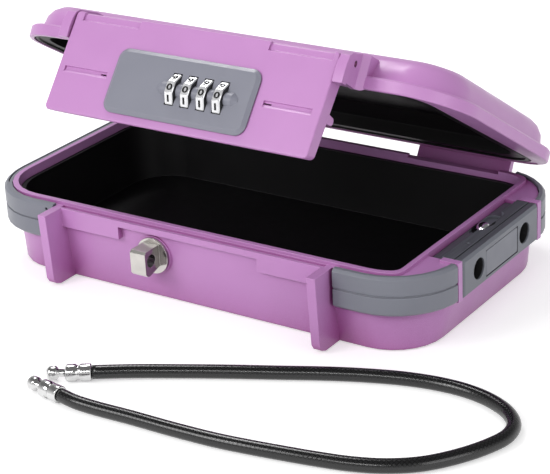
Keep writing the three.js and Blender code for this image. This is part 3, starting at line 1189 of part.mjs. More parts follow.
function makeFerrule(atStart) {
  const r = FERRULE_R;
  const l = FERRULE_LENGTH;
  return layAlong([[0, 0], [r - 0.4, 0], [r, 0.5], [r, l * 0.42], [r - 0.7, l * 0.48], [r - 0.7, l * 0.56],
    [r, l * 0.62], [r, l - 0.6], [r - 0.6, l], [0, l]], atStart, GAP, 20);
}

function makeStud(atStart) {
  const n = STUD_NECK_R;
  const h = STUD_HEAD_R;
  const l = STUD_LENGTH;
  return layAlong([[0, 0], [n, 0], [n, l * 0.34], [h - 0.5, l * 0.4], [h, l * 0.48], [h, l * 0.8],
    [h - 0.9, l * 0.96], [0, l]], atStart, FERRULE_LENGTH + 2 * GAP, 20);
}

// Assembly

const safe = new THREE.Group();

function addPiece(parent, name, shape, look) {
  const geometry = shape.isBufferGeometry ? shape : geometryOf(shape);
  geometry.computeVertexNormals();
  const mesh = new THREE.Mesh(geometry, new THREE.MeshStandardMaterial(COLOURS[look]));
  mesh.name = name;
  parent.add(mesh);
  return mesh;
}

// A group whose content is drawn closed, turned open about a line along x
function swung(parent, y, z, degrees) {
  const frame = new THREE.Group();
  frame.position.set(0, y, z);
  frame.rotation.x = -THREE.MathUtils.degToRad(degrees);
  const drawn = new THREE.Group();
  drawn.position.set(0, -y, -z);
  frame.add(drawn);
  parent.add(frame);
  return drawn;
}

addPiece(safe, "base_shell", makeBaseShell(), "shell");
addPiece(safe, "base_liner", makeBaseLiner(), "liner");
addPiece(safe, "bumper_left", makeLeftBumper(), "trim");
addPiece(safe, "bumper_front_right", makeRightBumper(-1), "trim");
addPiece(safe, "bumper_rear_right", makeRightBumper(1), "trim");
addPiece(safe, "cable_lock_housing", makeHousing(), "trim");
addPiece(safe, "access_panel", makePanel(), "trim");
[["front", -1], ["rear", 1]].forEach(([place, side]) => addPiece(safe, `housing_screw_${place}`,
  makeHousingScrew(side), "steel"));
addPiece(safe, "cable_lock_slide", makeSlide(), "lockcase");
addPiece(safe, "release_knob", makeKnob(), "chrome");
addPiece(safe, "slide_spring",
  makeSpring("y", springY0, springY1, [springX, springZ], 1.8, 0.3, 7), "steel");
addPiece(safe, "latch_staple", makeStaple(), "nickel");
addPiece(safe, "staple_nut", makeNut(), "steel");
[["left", -1], ["right", 1]].forEach(([place, side]) => addPiece(safe, `hinge_pin_${place}`,
  bar("x", HINGE_PIN_R, ...span(side, pinInnerX, pinOuterX), [HINGE_Y, HINGE_Z], 16), "steel"));

const lid = swung(safe, HINGE_Y, HINGE_Z, LID_OPEN_DEG);
addPiece(lid, "lid_shell", makeLidShell(), "shell");
addPiece(lid, "lid_liner", makeLidLiner(), "liner");
[["left", -1], ["right", 1]].forEach(([place, side]) => addPiece(lid, `flap_pin_${place}`,
  bar("x", FLAP_PIN_R, ...span(side, FLAP_HALF_X - EAR_THICK + 0.4, flapPinEndX),
    [FLAP_PIN_Y, FLAP_PIN_Z], 14), "steel"));

const flap = swung(lid, FLAP_PIN_Y, FLAP_PIN_Z, FLAP_OPEN_DEG);
addPiece(flap, "flap_shell", makeFlapShell(), "shell");
addPiece(flap, "lock_plate", makeLockPlate(), "plate");
addPiece(flap, "lock_case", makeLockCase(), "lockcase");
addPiece(flap, "lock_bolt", makeBolt(), "steel");
addPiece(flap, "dial_axle", makeAxle(), "steel");
addPiece(flap, "bolt_spring",
  makeSpring("x", boltSpringX0, boltSpringX1, [dialY, dialZ], 2.1, 0.3, 4), "steel");
addPiece(flap, "dial_detent", makeDetent(), "steel");
for (let i = 0; i < DIAL_COUNT; i += 1) {
  addPiece(flap, `dial_${i + 1}`, makeDial(i), "chrome");
  addPiece(flap, `code_wheel_${i + 1}`, makeCodeWheel(i), "steel");
}
[["left", tabX[0]], ["right", tabX[1]]].forEach(([place, x]) => {
  addPiece(flap, `lock_screw_${place}`, makeLockScrew(x), "steel");
});

addPiece(safe, "tether_cable", makeCable(), "cable");
[["first", true], ["second", false]].forEach(([place, atStart]) => {
  addPiece(safe, `cable_ferrule_${place}`, makeFerrule(atStart), "nickel");
  addPiece(safe, `cable_stud_${place}`, makeStud(atStart), "nickel");
});

export default safe;
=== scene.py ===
"""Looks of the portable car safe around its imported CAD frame, in metres."""

import math

import bmesh
import bpy
from mathutils import Matrix, Vector


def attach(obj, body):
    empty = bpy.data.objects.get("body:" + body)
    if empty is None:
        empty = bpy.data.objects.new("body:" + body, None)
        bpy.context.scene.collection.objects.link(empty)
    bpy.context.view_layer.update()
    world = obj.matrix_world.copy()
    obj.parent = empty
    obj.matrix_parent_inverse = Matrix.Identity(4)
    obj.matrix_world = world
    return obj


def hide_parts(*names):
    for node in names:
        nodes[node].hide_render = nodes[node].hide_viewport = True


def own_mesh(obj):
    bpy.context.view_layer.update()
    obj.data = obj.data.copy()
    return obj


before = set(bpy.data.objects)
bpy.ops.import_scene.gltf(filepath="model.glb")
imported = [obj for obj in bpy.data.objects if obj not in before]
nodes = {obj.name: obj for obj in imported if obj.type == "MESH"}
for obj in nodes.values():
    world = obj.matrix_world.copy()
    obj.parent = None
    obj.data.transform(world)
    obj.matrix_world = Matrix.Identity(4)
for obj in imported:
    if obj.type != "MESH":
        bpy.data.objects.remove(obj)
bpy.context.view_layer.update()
scene = bpy.context.scene
MM = 0.001


# Camera

AZIMUTH, ELEVATION, ROLL = map(math.radians, (34.72, 23.62, -3.0))
TARGET = Vector((0.02735, -0.03633, 0.03))
DISTANCE = 0.8512
LENS = 124.2


def make_camera():
    back = Vector((math.sin(AZIMUTH) * math.cos(ELEVATION),
                   -math.cos(AZIMUTH) * math.cos(ELEVATION), math.sin(ELEVATION)))
    level = Vector((math.cos(AZIMUTH), math.sin(AZIMUTH), 0))
    upright = back.cross(level)
    right = math.cos(ROLL) * level + math.sin(ROLL) * upright
    up = -math.sin(ROLL) * level + math.cos(ROLL) * upright
    camera = bpy.data.objects.new("camera", bpy.data.cameras.new("camera"))
    scene.collection.objects.link(camera)
    place = Matrix((right, up, back)).transposed().to_4x4()
    place.translation = TARGET + back * DISTANCE
    camera.matrix_world = place
    camera.data.lens = LENS
    camera.data.sensor_width = 36
    camera.data.clip_start = 0.01
    camera.data.clip_end = 20
    scene.camera = camera


make_camera()


# Material nodes

def srgb(red, green, blue):
    """Linear colour of an 8-bit one."""
    def linear(value):
        share = value / 255
        return share / 12.92 if share <= 0.04045 else ((share + 0.055) / 1.055) ** 2.4
    return (linear(red), linear(green), linear(blue), 1)


class Look:
    """A material with its Principled shader, and short ways to add nodes to it."""

    def __init__(self, name, colour, roughness, metallic=0.0, **sockets):
        self.material = bpy.data.materials.new(name)
        self.material.use_nodes = True
        self.tree = self.material.node_tree
        self.shader = self.tree.nodes["Principled BSDF"]
        self.shader.inputs["Base Color"].default_value = colour
        self.shader.inputs["Roughness"].default_value = roughness
        self.shader.inputs["Metallic"].default_value = metallic
        for socket, value in sockets.items():
            self.shader.inputs[socket.replace("_", " ")].default_value = value
        # This mask also marks where the fittings are painted with shade.
        self.matt = None  # where a moulded look is rougher, once painted has set it

    def node(self, kind, **settings):
        made = self.tree.nodes.new(kind)
        for key, value in settings.items():
            if hasattr(made, key):
                setattr(made, key, value)
            else:
                made.inputs[key.replace("_", " ")].default_value = value
        return made

    def link(self, source, target):
        self.tree.links.new(source, target)

    def place(self, stretch=(1, 1, 1)):
        """Position in the object's own metres, stretched."""
        coordinates = self.node("ShaderNodeTexCoord")
        mapping = self.node("ShaderNodeMapping")
        mapping.inputs["Scale"].default_value = stretch
        self.link(coordinates.outputs["Object"], mapping.inputs["Vector"])
        return mapping.outputs["Vector"]

    def noise(self, scale, detail=2.0, stretch=(1, 1, 1)):
        made = self.node("ShaderNodeTexNoise", Scale=scale, Detail=detail)
        self.link(self.place(stretch), made.inputs["Vector"])
        return made.outputs["Fac"]

    def ranged(self, value, low, high, source_low=0.3, source_high=0.7):
        made = self.node("ShaderNodeMapRange")
        for key, number in (("From Min", source_low), ("From Max", source_high),
                            ("To Min", low), ("To Max", high)):
            made.inputs[key].default_value = number
        self.link(value, made.inputs["Value"])
        return made.outputs["Result"]

    def tinted(self, value, first, second):
        """A colour between two, given or linked, by a value from 0 to 1."""
        made = self.node("ShaderNodeMix", data_type="RGBA")
        ends = [socket for socket in made.inputs if socket.type == "RGBA"]
        self.link(value, made.inputs["Factor"])
        for socket, end in zip(ends, (first, second)):
            if isinstance(end, tuple):
                socket.default_value = end
            else:
                self.link(end, socket)
        return next(out for out in made.outputs if out.type == "RGBA")

    def sum_of(self, first, second, operation="ADD"):
        made = self.node("ShaderNodeMath", operation=operation)
        for socket, value in zip(made.inputs, (first, second)):
            if isinstance(value, (int, float)):
                socket.default_value = value
            else:
                self.link(value, socket)
        return made.outputs[0]

    def hidden(self, reach, low, high):
        """1 where other surfaces within reach close the place in, 0 where it lies open; looks
        darken there as painted shade.
        """
        made = self.node("ShaderNodeAmbientOcclusion", samples=6, Distance=reach)
        return self.ranged(made.outputs["AO"], 1, 0, low, high)

    def edges(self, radius):
        """1 along sharp edges, 0 elsewhere."""
        turn = self.node("ShaderNodeVectorMath", operation="DOT_PRODUCT")
        self.link(self.softened(radius), turn.inputs[0])
        self.link(self.node("ShaderNodeNewGeometry").outputs["Normal"], turn.inputs[1])
        return self.ranged(turn.outputs["Value"], 1, 0, 0.82, 0.985)

    def facing(self, axis, low=0.75, high=0.95):
        """1 where the surface faces along an axis of the object, either way."""
        parts = self.node("ShaderNodeSeparateXYZ")
        self.link(self.node("ShaderNodeTexCoord").outputs["Normal"], parts.inputs[0])
        size = self.sum_of(parts.outputs[axis], 0, "ABSOLUTE")
        return self.ranged(size, 0, 1, low, high)

    def spot(self, centre, radius, axis, fade):
        """1 within radius of a line along an axis through centre, 0 past fade outside it."""
        away = self.node("ShaderNodeVectorMath", operation="SUBTRACT")
        self.link(self.place(), away.inputs[0])
        away.inputs[1].default_value = centre
        flat = self.node("ShaderNodeVectorMath", operation="MULTIPLY")
        self.link(away.outputs["Vector"], flat.inputs[0])
        flat.inputs[1].default_value = [0 if name == axis else 1 for name in "XYZ"]
        far = self.node("ShaderNodeVectorMath", operation="LENGTH")
        self.link(flat.outputs["Vector"], far.inputs[0])
        return self.ranged(far.outputs["Value"], 1, 0, radius, radius + fade)

    def beyond(self, axis, place, fade):
        """1 where the place along an axis is past a value, 0 short of it."""
        parts = self.node("ShaderNodeSeparateXYZ")
        self.link(self.place(), parts.inputs[0])
        return self.ranged(parts.outputs[axis], 0, 1, place - fade, place + fade)

    def bumped(self, height, distance, strength=1.0, normal=None):
        made = self.node("ShaderNodeBump", Distance=distance, Strength=strength)
        self.link(height, made.inputs["Height"])
        if normal is not None:
            self.link(normal, made.inputs["Normal"])
        return made.outputs["Normal"]

    def softened(self, radius):
        """Normals rounded over sharp edges."""
        made = self.node("ShaderNodeBevel", samples=6, Radius=radius)
        return made.outputs["Normal"]

    def wire(self, output, socket):
        self.link(output, self.shader.inputs[socket])


def scaled(colour, share):
    return (*[channel * share for channel in colour[:3]], 1)


MOTTLE_SCALE = 38
MOTTLE = (0.98, 1.02)
# Painted highlight: how far from sharp edges, and how much lighter, the edges are painted.
EDGE_HIGHLIGHT_RADIUS = 0.5 * MM
EDGE_HIGHLIGHT_GAIN = 1.35
EDGE_HIGHLIGHT_LIFT = 0.06
SHADED_BELOW = 0.12
SATIN_SCALE = 90
SATIN_BELOW = 0.05
SATIN_ABOVE = 0.06
MATT_ROUGHER = 0.35
GRAIN_SCALE = 2600
GRAIN_STRENGTH = 0.6


def moulded(name, colour, roughness, shade, reach, open_at=0.8, grain=0.012, edge=0.35,
            edge_highlight=0.0, painted=None, **sockets):
    """Moulded plastic: faint mottle, satin patches, fine grain, a painted highlight along the
    edges and painted shade in the hollows.

    In mm: reach is how far a hollow's shading looks, grain is the depth of the grain and
    edge the radius of the rounded normals. painted may change the base colour.
    """
    look = Look(name, colour, roughness, **sockets)
    cloud = look.noise(MOTTLE_SCALE, 3)
    dull, clear = (scaled(colour, share) for share in MOTTLE)
    base = look.tinted(look.ranged(cloud, 0, 1), dull, clear)
    # Painted highlight: a lighter colour along the sharp edges.
    if edge_highlight:
        edge_lit = look.sum_of(look.edges(EDGE_HIGHLIGHT_RADIUS), edge_highlight, "MULTIPLY")
        base = look.tinted(edge_lit, base, tuple(min(1, channel * EDGE_HIGHLIGHT_GAIN + EDGE_HIGHLIGHT_LIFT)
                                             for channel in colour))
    # Painted shade: the shade colour where other surfaces close the place in.
    base = look.tinted(look.hidden(reach * MM, SHADED_BELOW, open_at), base, shade)
    if painted:
        base = painted(look, base)
    look.wire(base, "Base Color")
    satin = look.ranged(look.noise(SATIN_SCALE, 4), roughness - SATIN_BELOW,
                        roughness + SATIN_ABOVE)
    if look.matt is not None:
        satin = look.sum_of(satin, look.sum_of(look.matt, MATT_ROUGHER, "MULTIPLY"))
    look.wire(satin, "Roughness")
    fine = look.noise(GRAIN_SCALE, 2)
    normal = look.softened(edge * MM)
    look.wire(look.bumped(fine, grain * MM, GRAIN_STRENGTH, normal), "Normal")
    return look


LILAC = srgb(193, 137, 195)
# Painted shade of the lilac plastic in its hollows.
LILAC_SHADE = srgb(144, 52, 124)
TRIM_GREY = srgb(122, 124, 134)
HOUSING_GREY = srgb(112, 115, 124)
# Painted shade on the housing top.
HOUSING_TOP_SHADE = srgb(80, 80, 88)
PLATE_GREY = srgb(130, 131, 143)
# TRIM_SHADE, PLATE_SHADE and LINER_SHADE are painted shade in hollows.
TRIM_SHADE = srgb(26, 26, 31)
PLATE_SHADE = srgb(40, 40, 46)
LINER_BLACK = srgb(12, 11, 13)
LINER_SHADE = srgb(4, 3, 5)
CASE_BLACK = srgb(24, 24, 27)
INK_BLACK = srgb(12, 12, 13)
PIN_PLUM = srgb(118, 48, 92)
NEAR_BLACK = srgb(14, 13, 16)

SOCKET_Y = 21.4 * MM
SOCKET_Z = 28.6 * MM
SOCKET_R = 4.9 * MM
SOCKET_SPARE = 0.15 * MM
MOUTH_DEEP = 0.7 * MM
KNOB_X = 110.4 * MM
KNOB_Y = 5.4 * MM
DISH_R = 5.3 * MM
DISH_DEEP = 5 * MM
END_X = 122.5 * MM
HOUSING_TOP = 35 * MM
TOP_DEEP = 0.5 * MM


def dark_fittings(look, base):
    """Painted shade: a darker lined housing top, a near-black dish round the release knob, and
    near-black bores.
    """
    dish = look.spot((KNOB_X, KNOB_Y, 0), DISH_R, "Z", 0.2 * MM)
    dish = look.sum_of(dish, look.beyond("Z", HOUSING_TOP - DISH_DEEP, 0.2 * MM), "MULTIPLY")
    bores = [look.spot((0, side * SOCKET_Y, SOCKET_Z), SOCKET_R + SOCKET_SPARE, "X", 0.1 * MM)
             for side in (-1, 1)]
    both = look.sum_of(bores[0], bores[1], "MAXIMUM")
    top = look.sum_of(look.facing("Z", 0.85, 0.99),
                      look.beyond("Z", HOUSING_TOP - TOP_DEEP, 0.1 * MM), "MULTIPLY")
    lined = look.ranged(look.noise(1500, 2, (1, 0.04, 1)), 0.55, 1.0)
    # Painted shade on the housing top, broken into lengthwise lines.
    base = look.tinted(look.sum_of(top, lined, "MULTIPLY"), base, HOUSING_TOP_SHADE)
    inside = look.sum_of(1, look.beyond("X", END_X - MOUTH_DEEP, 0.25 * MM), "SUBTRACT")
    bore = look.sum_of(both, inside, "MULTIPLY")
    # Painted shade: near black in the dish and the bores.
    look.matt = look.sum_of(dish, bore, "MAXIMUM")
    return look.tinted(look.matt, base, NEAR_BLACK)


# The fourth colour of each look is painted shade for its hollows.
shell_look = moulded("lilac_plastic", LILAC, 0.34, LILAC_SHADE, 34, open_at=0.6, edge_highlight=0.5)
trim_look = moulded("grey_trim", TRIM_GREY, 0.42, TRIM_SHADE, 4, open_at=0.72, edge_highlight=0.3)
housing_look = moulded("grey_housing", HOUSING_GREY, 0.42, TRIM_SHADE, 4, open_at=0.72,
                       edge_highlight=0.3, painted=dark_fittings)
plate_look = moulded("grey_plate", PLATE_GREY, 0.36, PLATE_SHADE, 3, open_at=0.7, edge_highlight=0.3)
liner_look = moulded("black_liner", LINER_BLACK, 0.5, LINER_SHADE, 20, grain=0.03, edge_highlight=0.7,
                     Specular_IOR_Level=0.25)
case_look = moulded("black_case", CASE_BLACK, 0.45, NEAR_BLACK, 5)
# The slide is near black as painted shade, so the sockets in front of it look dark inside.
socket_shade_look = moulded("shaded_slide", INK_BLACK, 0.5, NEAR_BLACK, 5, Specular_IOR_Level=0.3)
ink_look = moulded("black_ink", INK_BLACK, 0.5, NEAR_BLACK, 2, grain=0.004)
pin_look = moulded("dull_pin", PIN_PLUM, 0.4, NEAR_BLACK, 2)

TARNISH_SCALE = 160
TARNISH = 0.86
METAL_REACH = 2.5 * MM
METAL_SHADE = 0.12
SCRATCH_SCALE = 700
SCRATCH_ROUGHNESS = (0.7, 1.4)
DENT_SCALE = 500
DENT_DEEP = 0.004 * MM
METAL_EDGE = 0.2 * MM


def bright(name, colour, roughness, side=None, painted=None, metallic=1.0, dents=0.5):
    """Plated metal with fine scratches and painted shade in its hollows; side is a darker colour
    painted as shade on its faces along X.
    """
    look = Look(name, colour, roughness, metallic=metallic)
    tarnish = look.ranged(look.noise(TARNISH_SCALE, 4), 0, 1)
    base = look.tinted(tarnish, scaled(colour, TARNISH), colour)
    if side:
        # Painted shade: the faces along X take the darker side colour.
        base = look.tinted(look.facing("X"), base, side)
    if painted:
        base = painted(look, base)
    # Painted shade: a darker colour where other surfaces close the place in.
    hollow_shade = look.hidden(METAL_REACH, 0.1, 0.7)
    look.wire(look.tinted(hollow_shade, base, scaled(colour, METAL_SHADE)), "Base Color")
    streaks = look.noise(SCRATCH_SCALE, 3, (1, 0.08, 1))
    smoothest, roughest = (roughness * share for share in SCRATCH_ROUGHNESS)
    look.wire(look.ranged(streaks, smoothest, roughest), "Roughness")
    dented = look.noise(DENT_SCALE, 2)
    look.wire(look.bumped(dented, DENT_DEEP, dents, look.softened(METAL_EDGE)), "Normal")
    return look


chrome_look = bright("chrome", (0.82, 0.82, 0.85, 1), 0.1)
# The dials' near-black sides are painted shade.
dial_look = bright("dial_chrome", (0.8, 0.8, 0.82, 1), 0.16, side=(0.05, 0.05, 0.055, 1),
                   metallic=0.45)

STAPLE_EYE_Y = -72.2 * MM
STAPLE_EYE_Z = 23.6 * MM
STAPLE_EYE_R = 3.0 * MM
STAPLE_EYE_SPARE = 0.1 * MM
STAPLE_EYE_SHADE = (0.2, 0.19, 0.195, 1)
STAPLE_METALLIC = (0.95, 0.35)


def dark_eye(look, base):
    """Painted shade inside the staple's eye; the staple is also less of a mirror on top."""
    eye = look.spot((0, STAPLE_EYE_Y, STAPLE_EYE_Z), STAPLE_EYE_R + STAPLE_EYE_SPARE, "X",
                    0.15 * MM)
    inner = look.sum_of(1, look.facing("X", 0.5, 0.9), "SUBTRACT")
    look.wire(look.ranged(look.facing("Z", 0.5, 0.9), *STAPLE_METALLIC, 0, 1), "Metallic")
    # Painted shade: a dark grey inside the eye.
    return look.tinted(look.sum_of(eye, inner, "MULTIPLY"), base, STAPLE_EYE_SHADE)


# The staple's darker sides are painted shade.
staple_look = bright("staple_nickel", (0.58, 0.56, 0.53, 1), 0.16,
                     side=(0.27, 0.255, 0.25, 1), painted=dark_eye, dents=0.12)
nickel_look = bright("nickel", (0.68, 0.68, 0.68, 1), 0.15, dents=0.08)
steel_look = bright("steel", (0.6, 0.6, 0.61, 1), 0.3)


CABLE_D = 6 * MM
STRANDS = 10
BRAID_PITCH = math.pi * CABLE_D / STRANDS
BRAID_DEEP = 0.06 * MM
BRAID_LOW = srgb(14, 14, 16)
BRAID_HIGH = srgb(3, 3, 4)
BRAID_ROUGHNESS = (0.3, 0.08)


def make_cable_look():
    """A glossy clear sheath over a dark wire braid; the mesh's UV runs round and along."""
    look = Look("cable_sheath", srgb(8, 8, 9), 0.2, Specular_IOR_Level=0.6)
    coordinates = look.node("ShaderNodeTexCoord")
    strands = []
    for lean in (1, -1):
        mapping = look.node("ShaderNodeMapping")
        mapping.inputs["Scale"].default_value = (STRANDS * lean, 1, 1)
        look.link(coordinates.outputs["UV"], mapping.inputs["Vector"])
        parts = look.node("ShaderNodeSeparateXYZ")
        look.link(mapping.outputs["Vector"], parts.inputs["Vector"])
        turned = look.sum_of(parts.outputs["X"], parts.outputs["Y"])
        strands.append(look.sum_of(turned, 0.5, "PINGPONG"))
    over = look.sum_of(strands[0], strands[1], "MAXIMUM")
    woven = look.ranged(over, 0, 1, 0.3, 0.5)
    look.wire(look.tinted(woven, BRAID_LOW, BRAID_HIGH), "Base Color")
    look.wire(look.ranged(over, *BRAID_ROUGHNESS, 0.32, 0.5), "Roughness")
    look.wire(look.bumped(over, BRAID_DEEP, 0.35), "Normal")
    return look


cable_look = make_cable_look()


def dress(names, look):
    for name in names:
        node = nodes[name]
        node.data.materials.clear()
        node.data.materials.append(look.material)


WELD = 0.01 * MM
PLANAR = math.radians(0.3)
SHARP = math.radians(30)


def smooth(ob, bevel=0.0):
    """Weld the imported facets, round the sharp edges and weight the normals."""
    for polygon in ob.data.polygons:
        polygon.use_smooth = True
    if "custom_normal" in ob.data.attributes:
        ob.data.attributes.remove(ob.data.attributes["custom_normal"])
    weld = ob.modifiers.new("weld", "WELD")
    weld.merge_threshold = WELD
    if bevel:
        planar = ob.modifiers.new("planar", "DECIMATE")
        planar.decimate_type = "DISSOLVE"
        planar.angle_limit = PLANAR
        rounded = ob.modifiers.new("rounded", "BEVEL")
        rounded.width = bevel
        rounded.segments = 2
        rounded.limit_method = "ANGLE"
        rounded.angle_limit = SHARP
        rounded.use_clamp_overlap = True
        rounded.harden_normals = False
    weighted = ob.modifiers.new("weighted", "WEIGHTED_NORMAL")
    weighted.mode = "FACE_AREA"
    weighted.weight = 100
    weighted.keep_sharp = True


def mesh_object(name, mesh, look, body):
    mesh.materials.append(look.material)
    made = bpy.data.objects.new(name, mesh)
    scene.collection.objects.link(made)
    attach(made, body)
    return made


# The tether cable

FERRULE_R = 3.75 * MM
CABLE_SIDES = 28
ROUTE_STEPS = 8
RAISED_POINTS = 2
ROUTE = [  # the cable's middle line on the floor, in mm
    (2.7, -140.1), (16, -131.2), (31, -122.3), (51, -112), (72, -101.8), (88, -94), (104, -87.2),
    (120, -81.9), (135, -79.2), (148, -79.2), (160, -82), (170.3, -87.6), (176.6, -95.2),
    (178.2, -104.2), (175.2, -114.6), (168.6, -127), (159.4, -138.3), (148.4, -146),
    (136, -151), (121.6, -154.4), (108, -156.9), (94, -159.2), (80, -161), (60.2, -162.1),
    (40, -162.5), (21, -163.3), (12, -163.5), (4, -162.5),
]


def smooth_route(points, steps):
    """Points along a centripetal Catmull-Rom curve through the given ones."""
    padded = [2 * points[0] - points[1], *points, 2 * points[-1] - points[-2]]
    line = []
    for i in range(len(points) - 1):
        a, b, c, d = padded[i:i + 4]
        t0 = 0.0
        t1 = t0 + (b - a).length ** 0.5
        t2 = t1 + (c - b).length ** 0.5
        t3 = t2 + (d - c).length ** 0.5
        for k in range(steps):
            t = t1 + (t2 - t1) * k / steps
            a1 = (t1 - t) / (t1 - t0) * a + (t - t0) / (t1 - t0) * b
            a2 = (t2 - t) / (t2 - t1) * b + (t - t1) / (t2 - t1) * c
            a3 = (t3 - t) / (t3 - t2) * c + (t - t2) / (t3 - t2) * d
            b1 = (t2 - t) / (t2 - t0) * a1 + (t - t0) / (t2 - t0) * a2
            b2 = (t3 - t) / (t3 - t1) * a2 + (t - t1) / (t3 - t1) * a3
            line.append((t2 - t) / (t2 - t1) * b1 + (t - t1) / (t2 - t1) * b2)
    line.append(points[-1].copy())
    return line


def cable_line():
    """The route in metres, raised at both ends to the middle of the ferrules."""
    last = len(ROUTE) - 1
    points = []
    for i, (x, y) in enumerate(ROUTE):
        near = min(i, last - i)
        lift = (FERRULE_R - CABLE_D / 2) * max(0, 1 - near / RAISED_POINTS)
        points.append(Vector((x * MM, y * MM, CABLE_D / 2 + lift)))
    return smooth_route(points, ROUTE_STEPS)


def cable_mesh(line, along):
    """A tube along the line, with its UV round and along it."""
    sides = CABLE_SIDES
    mesh = bpy.data.meshes.new("tether_cable_sheath")
    builder = bmesh.new()
    uv = builder.loops.layers.uv.new("UVMap")
    rings = []
    for i, point in enumerate(line):
        ahead = line[min(i + 1, len(line) - 1)] - line[max(i - 1, 0)]
        ahead.normalize()
        side = ahead.cross(Vector((0, 0, 1))).normalized()
        up = side.cross(ahead)
        ring = []
        for k in range(sides):
            angle = 2 * math.pi * k / sides
            out = side * math.cos(angle) + up * math.sin(angle)
            ring.append(builder.verts.new(point + out * CABLE_D / 2))
        rings.append(ring)
    for i in range(len(rings) - 1):
        near, far = rings[i], rings[i + 1]
        for k in range(sides):
            following = (k + 1) % sides
            face = builder.faces.new((near[k], near[following], far[following], far[k]))
            face.smooth = True
            corners = ((k, i), (k + 1, i), (k + 1, i + 1), (k, i + 1))
            for loop, (u, v) in zip(face.loops, corners):
                loop[uv].uv = (u / sides, along[v] / BRAID_PITCH)
    builder.faces.new(list(reversed(rings[0])))
    builder.faces.new(rings[-1])
    bmesh.ops.recalc_face_normals(builder, faces=builder.faces)
    builder.to_mesh(mesh)
    builder.free()
    return mesh


def make_cable():
    line = cable_line()
    along = [0.0]
    for i in range(1, len(line)):
        along.append(along[-1] + (line[i] - line[i - 1]).length)
    mesh = cable_mesh(line, along)
    made = mesh_object("tether_cable_sheath", mesh, cable_look, "cable")
    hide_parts("tether_cable")
    print("cable length", along[-1])


make_cable()


# CAD nodes that stay

dress(["base_shell", "lid_shell", "flap_shell"], shell_look)
dress(["bumper_left", "bumper_front_right", "bumper_rear_right", "access_panel"], trim_look)
dress(["cable_lock_housing"], housing_look)
dress(["lock_plate"], plate_look)
dress(["base_liner", "lid_liner"], liner_look)
dress(["lock_case"], case_look)
dials = [f"dial_{i}" for i in range(1, 5)]
dress(dials, dial_look)
dress(["release_knob"], chrome_look)
dress(["latch_staple"], staple_look)
dress(["cable_ferrule_first", "cable_ferrule_second", "cable_stud_first", "cable_stud_second"],
      nickel_look)
dress(["flap_pin_left", "flap_pin_right"], pin_look)
dress(["cable_lock_slide"], socket_shade_look)
dress(["housing_screw_front", "housing_screw_rear", "slide_spring", "staple_nut",
       "hinge_pin_left", "hinge_pin_right", "lock_bolt", "dial_axle",
       "bolt_spring", "dial_detent", "lock_screw_left", "lock_screw_right"]
      + [f"code_wheel_{i}" for i in range(1, 5)], steel_look)

BEVELS = {  # in mm
    "base_shell": 0.5, "lid_shell": 0.5, "flap_shell": 0.4, "lock_plate": 0.35,
    "bumper_left": 0.35, "bumper_front_right": 0.35, "bumper_rear_right": 0.35,
    "cable_lock_housing": 0.3, "access_panel": 0.15, "base_liner": 0.4, "lid_liner": 0.4,
    "latch_staple": 0.5, **dict.fromkeys(dials, 0.16),
}
for name, node in nodes.items():
    if name != "tether_cable":
        smooth(node, BEVELS.get(name, 0) * MM)


# The springs, as smoothed copies of the CAD ones


def make_spring(name, body):
    """A smoothed steel copy of the CAD spring in its place; the CAD spring is hidden."""
    source = nodes[name]
    mesh = source.data.copy()
    mesh.materials.clear()
    made = mesh_object(f"{name}_coil", mesh, steel_look, body)
    made.matrix_world = source.matrix_world.copy()
    smooth(made)
    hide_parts(name)
    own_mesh(made)


make_spring("bolt_spring", "flap")
make_spring("slide_spring", "base")


# Numerals on the dials' facets

LID_HINGE = Vector((0, 69.5, 20.5)) * MM
LID_OPEN = math.radians(-32.2)
FLAP_PIN = Vector((0, -73.8, 46.4)) * MM
FLAP_OPEN = math.radians(-6.5)
DIAL_AXIS = Vector((0, -78.7, 19.15)) * MM
DIAL_FIRST_X = -3.7 * MM
DIAL_PITCH = 8.3 * MM
DIAL_FACES = 10
DIAL_R = 8.5 * MM
DIAL_FLAT = DIAL_R * math.cos(math.pi / DIAL_FACES)
NUMERAL_HIGH = 3.1 * MM
NUMERAL_WIDEN = 1.5
NUMERAL_PROUD = 0.05 * MM
NUMERAL_BOLDER = 0.03


def turned_about(place, angle):
    return Matrix.Translation(place) @ Matrix.Rotation(angle, 4, "X") @ Matrix.Translation(-place)


LID_TO_REST = turned_about(LID_HINGE, LID_OPEN)
FLAP_TO_REST = LID_TO_REST @ turned_about(FLAP_PIN, FLAP_OPEN)


def numeral_mesh(digit):
    """A flat raised digit, centred, with its face along +Z."""
    curve = bpy.data.curves.new("digit", "FONT")
    curve.body = str(digit)
    curve.size = 1
    curve.resolution_u = 3
    curve.offset = NUMERAL_BOLDER
    text = bpy.data.objects.new("digit", curve)
    scene.collection.objects.link(text)
    bpy.context.view_layer.update()
    evaluated = text.evaluated_get(bpy.context.evaluated_depsgraph_get())
    mesh = bpy.data.meshes.new_from_object(evaluated)
    bpy.data.objects.remove(text)
    xs = [v.co.x for v in mesh.vertices]
    ys = [v.co.y for v in mesh.vertices]
    share = Vector((NUMERAL_WIDEN, 1, 1)) * NUMERAL_HIGH / (max(ys) - min(ys))
    middle = Vector(((min(xs) + max(xs)) / 2, (min(ys) + max(ys)) / 2, 0))
    for vertex in mesh.vertices:
        vertex.co = (vertex.co - middle) * share
    return mesh


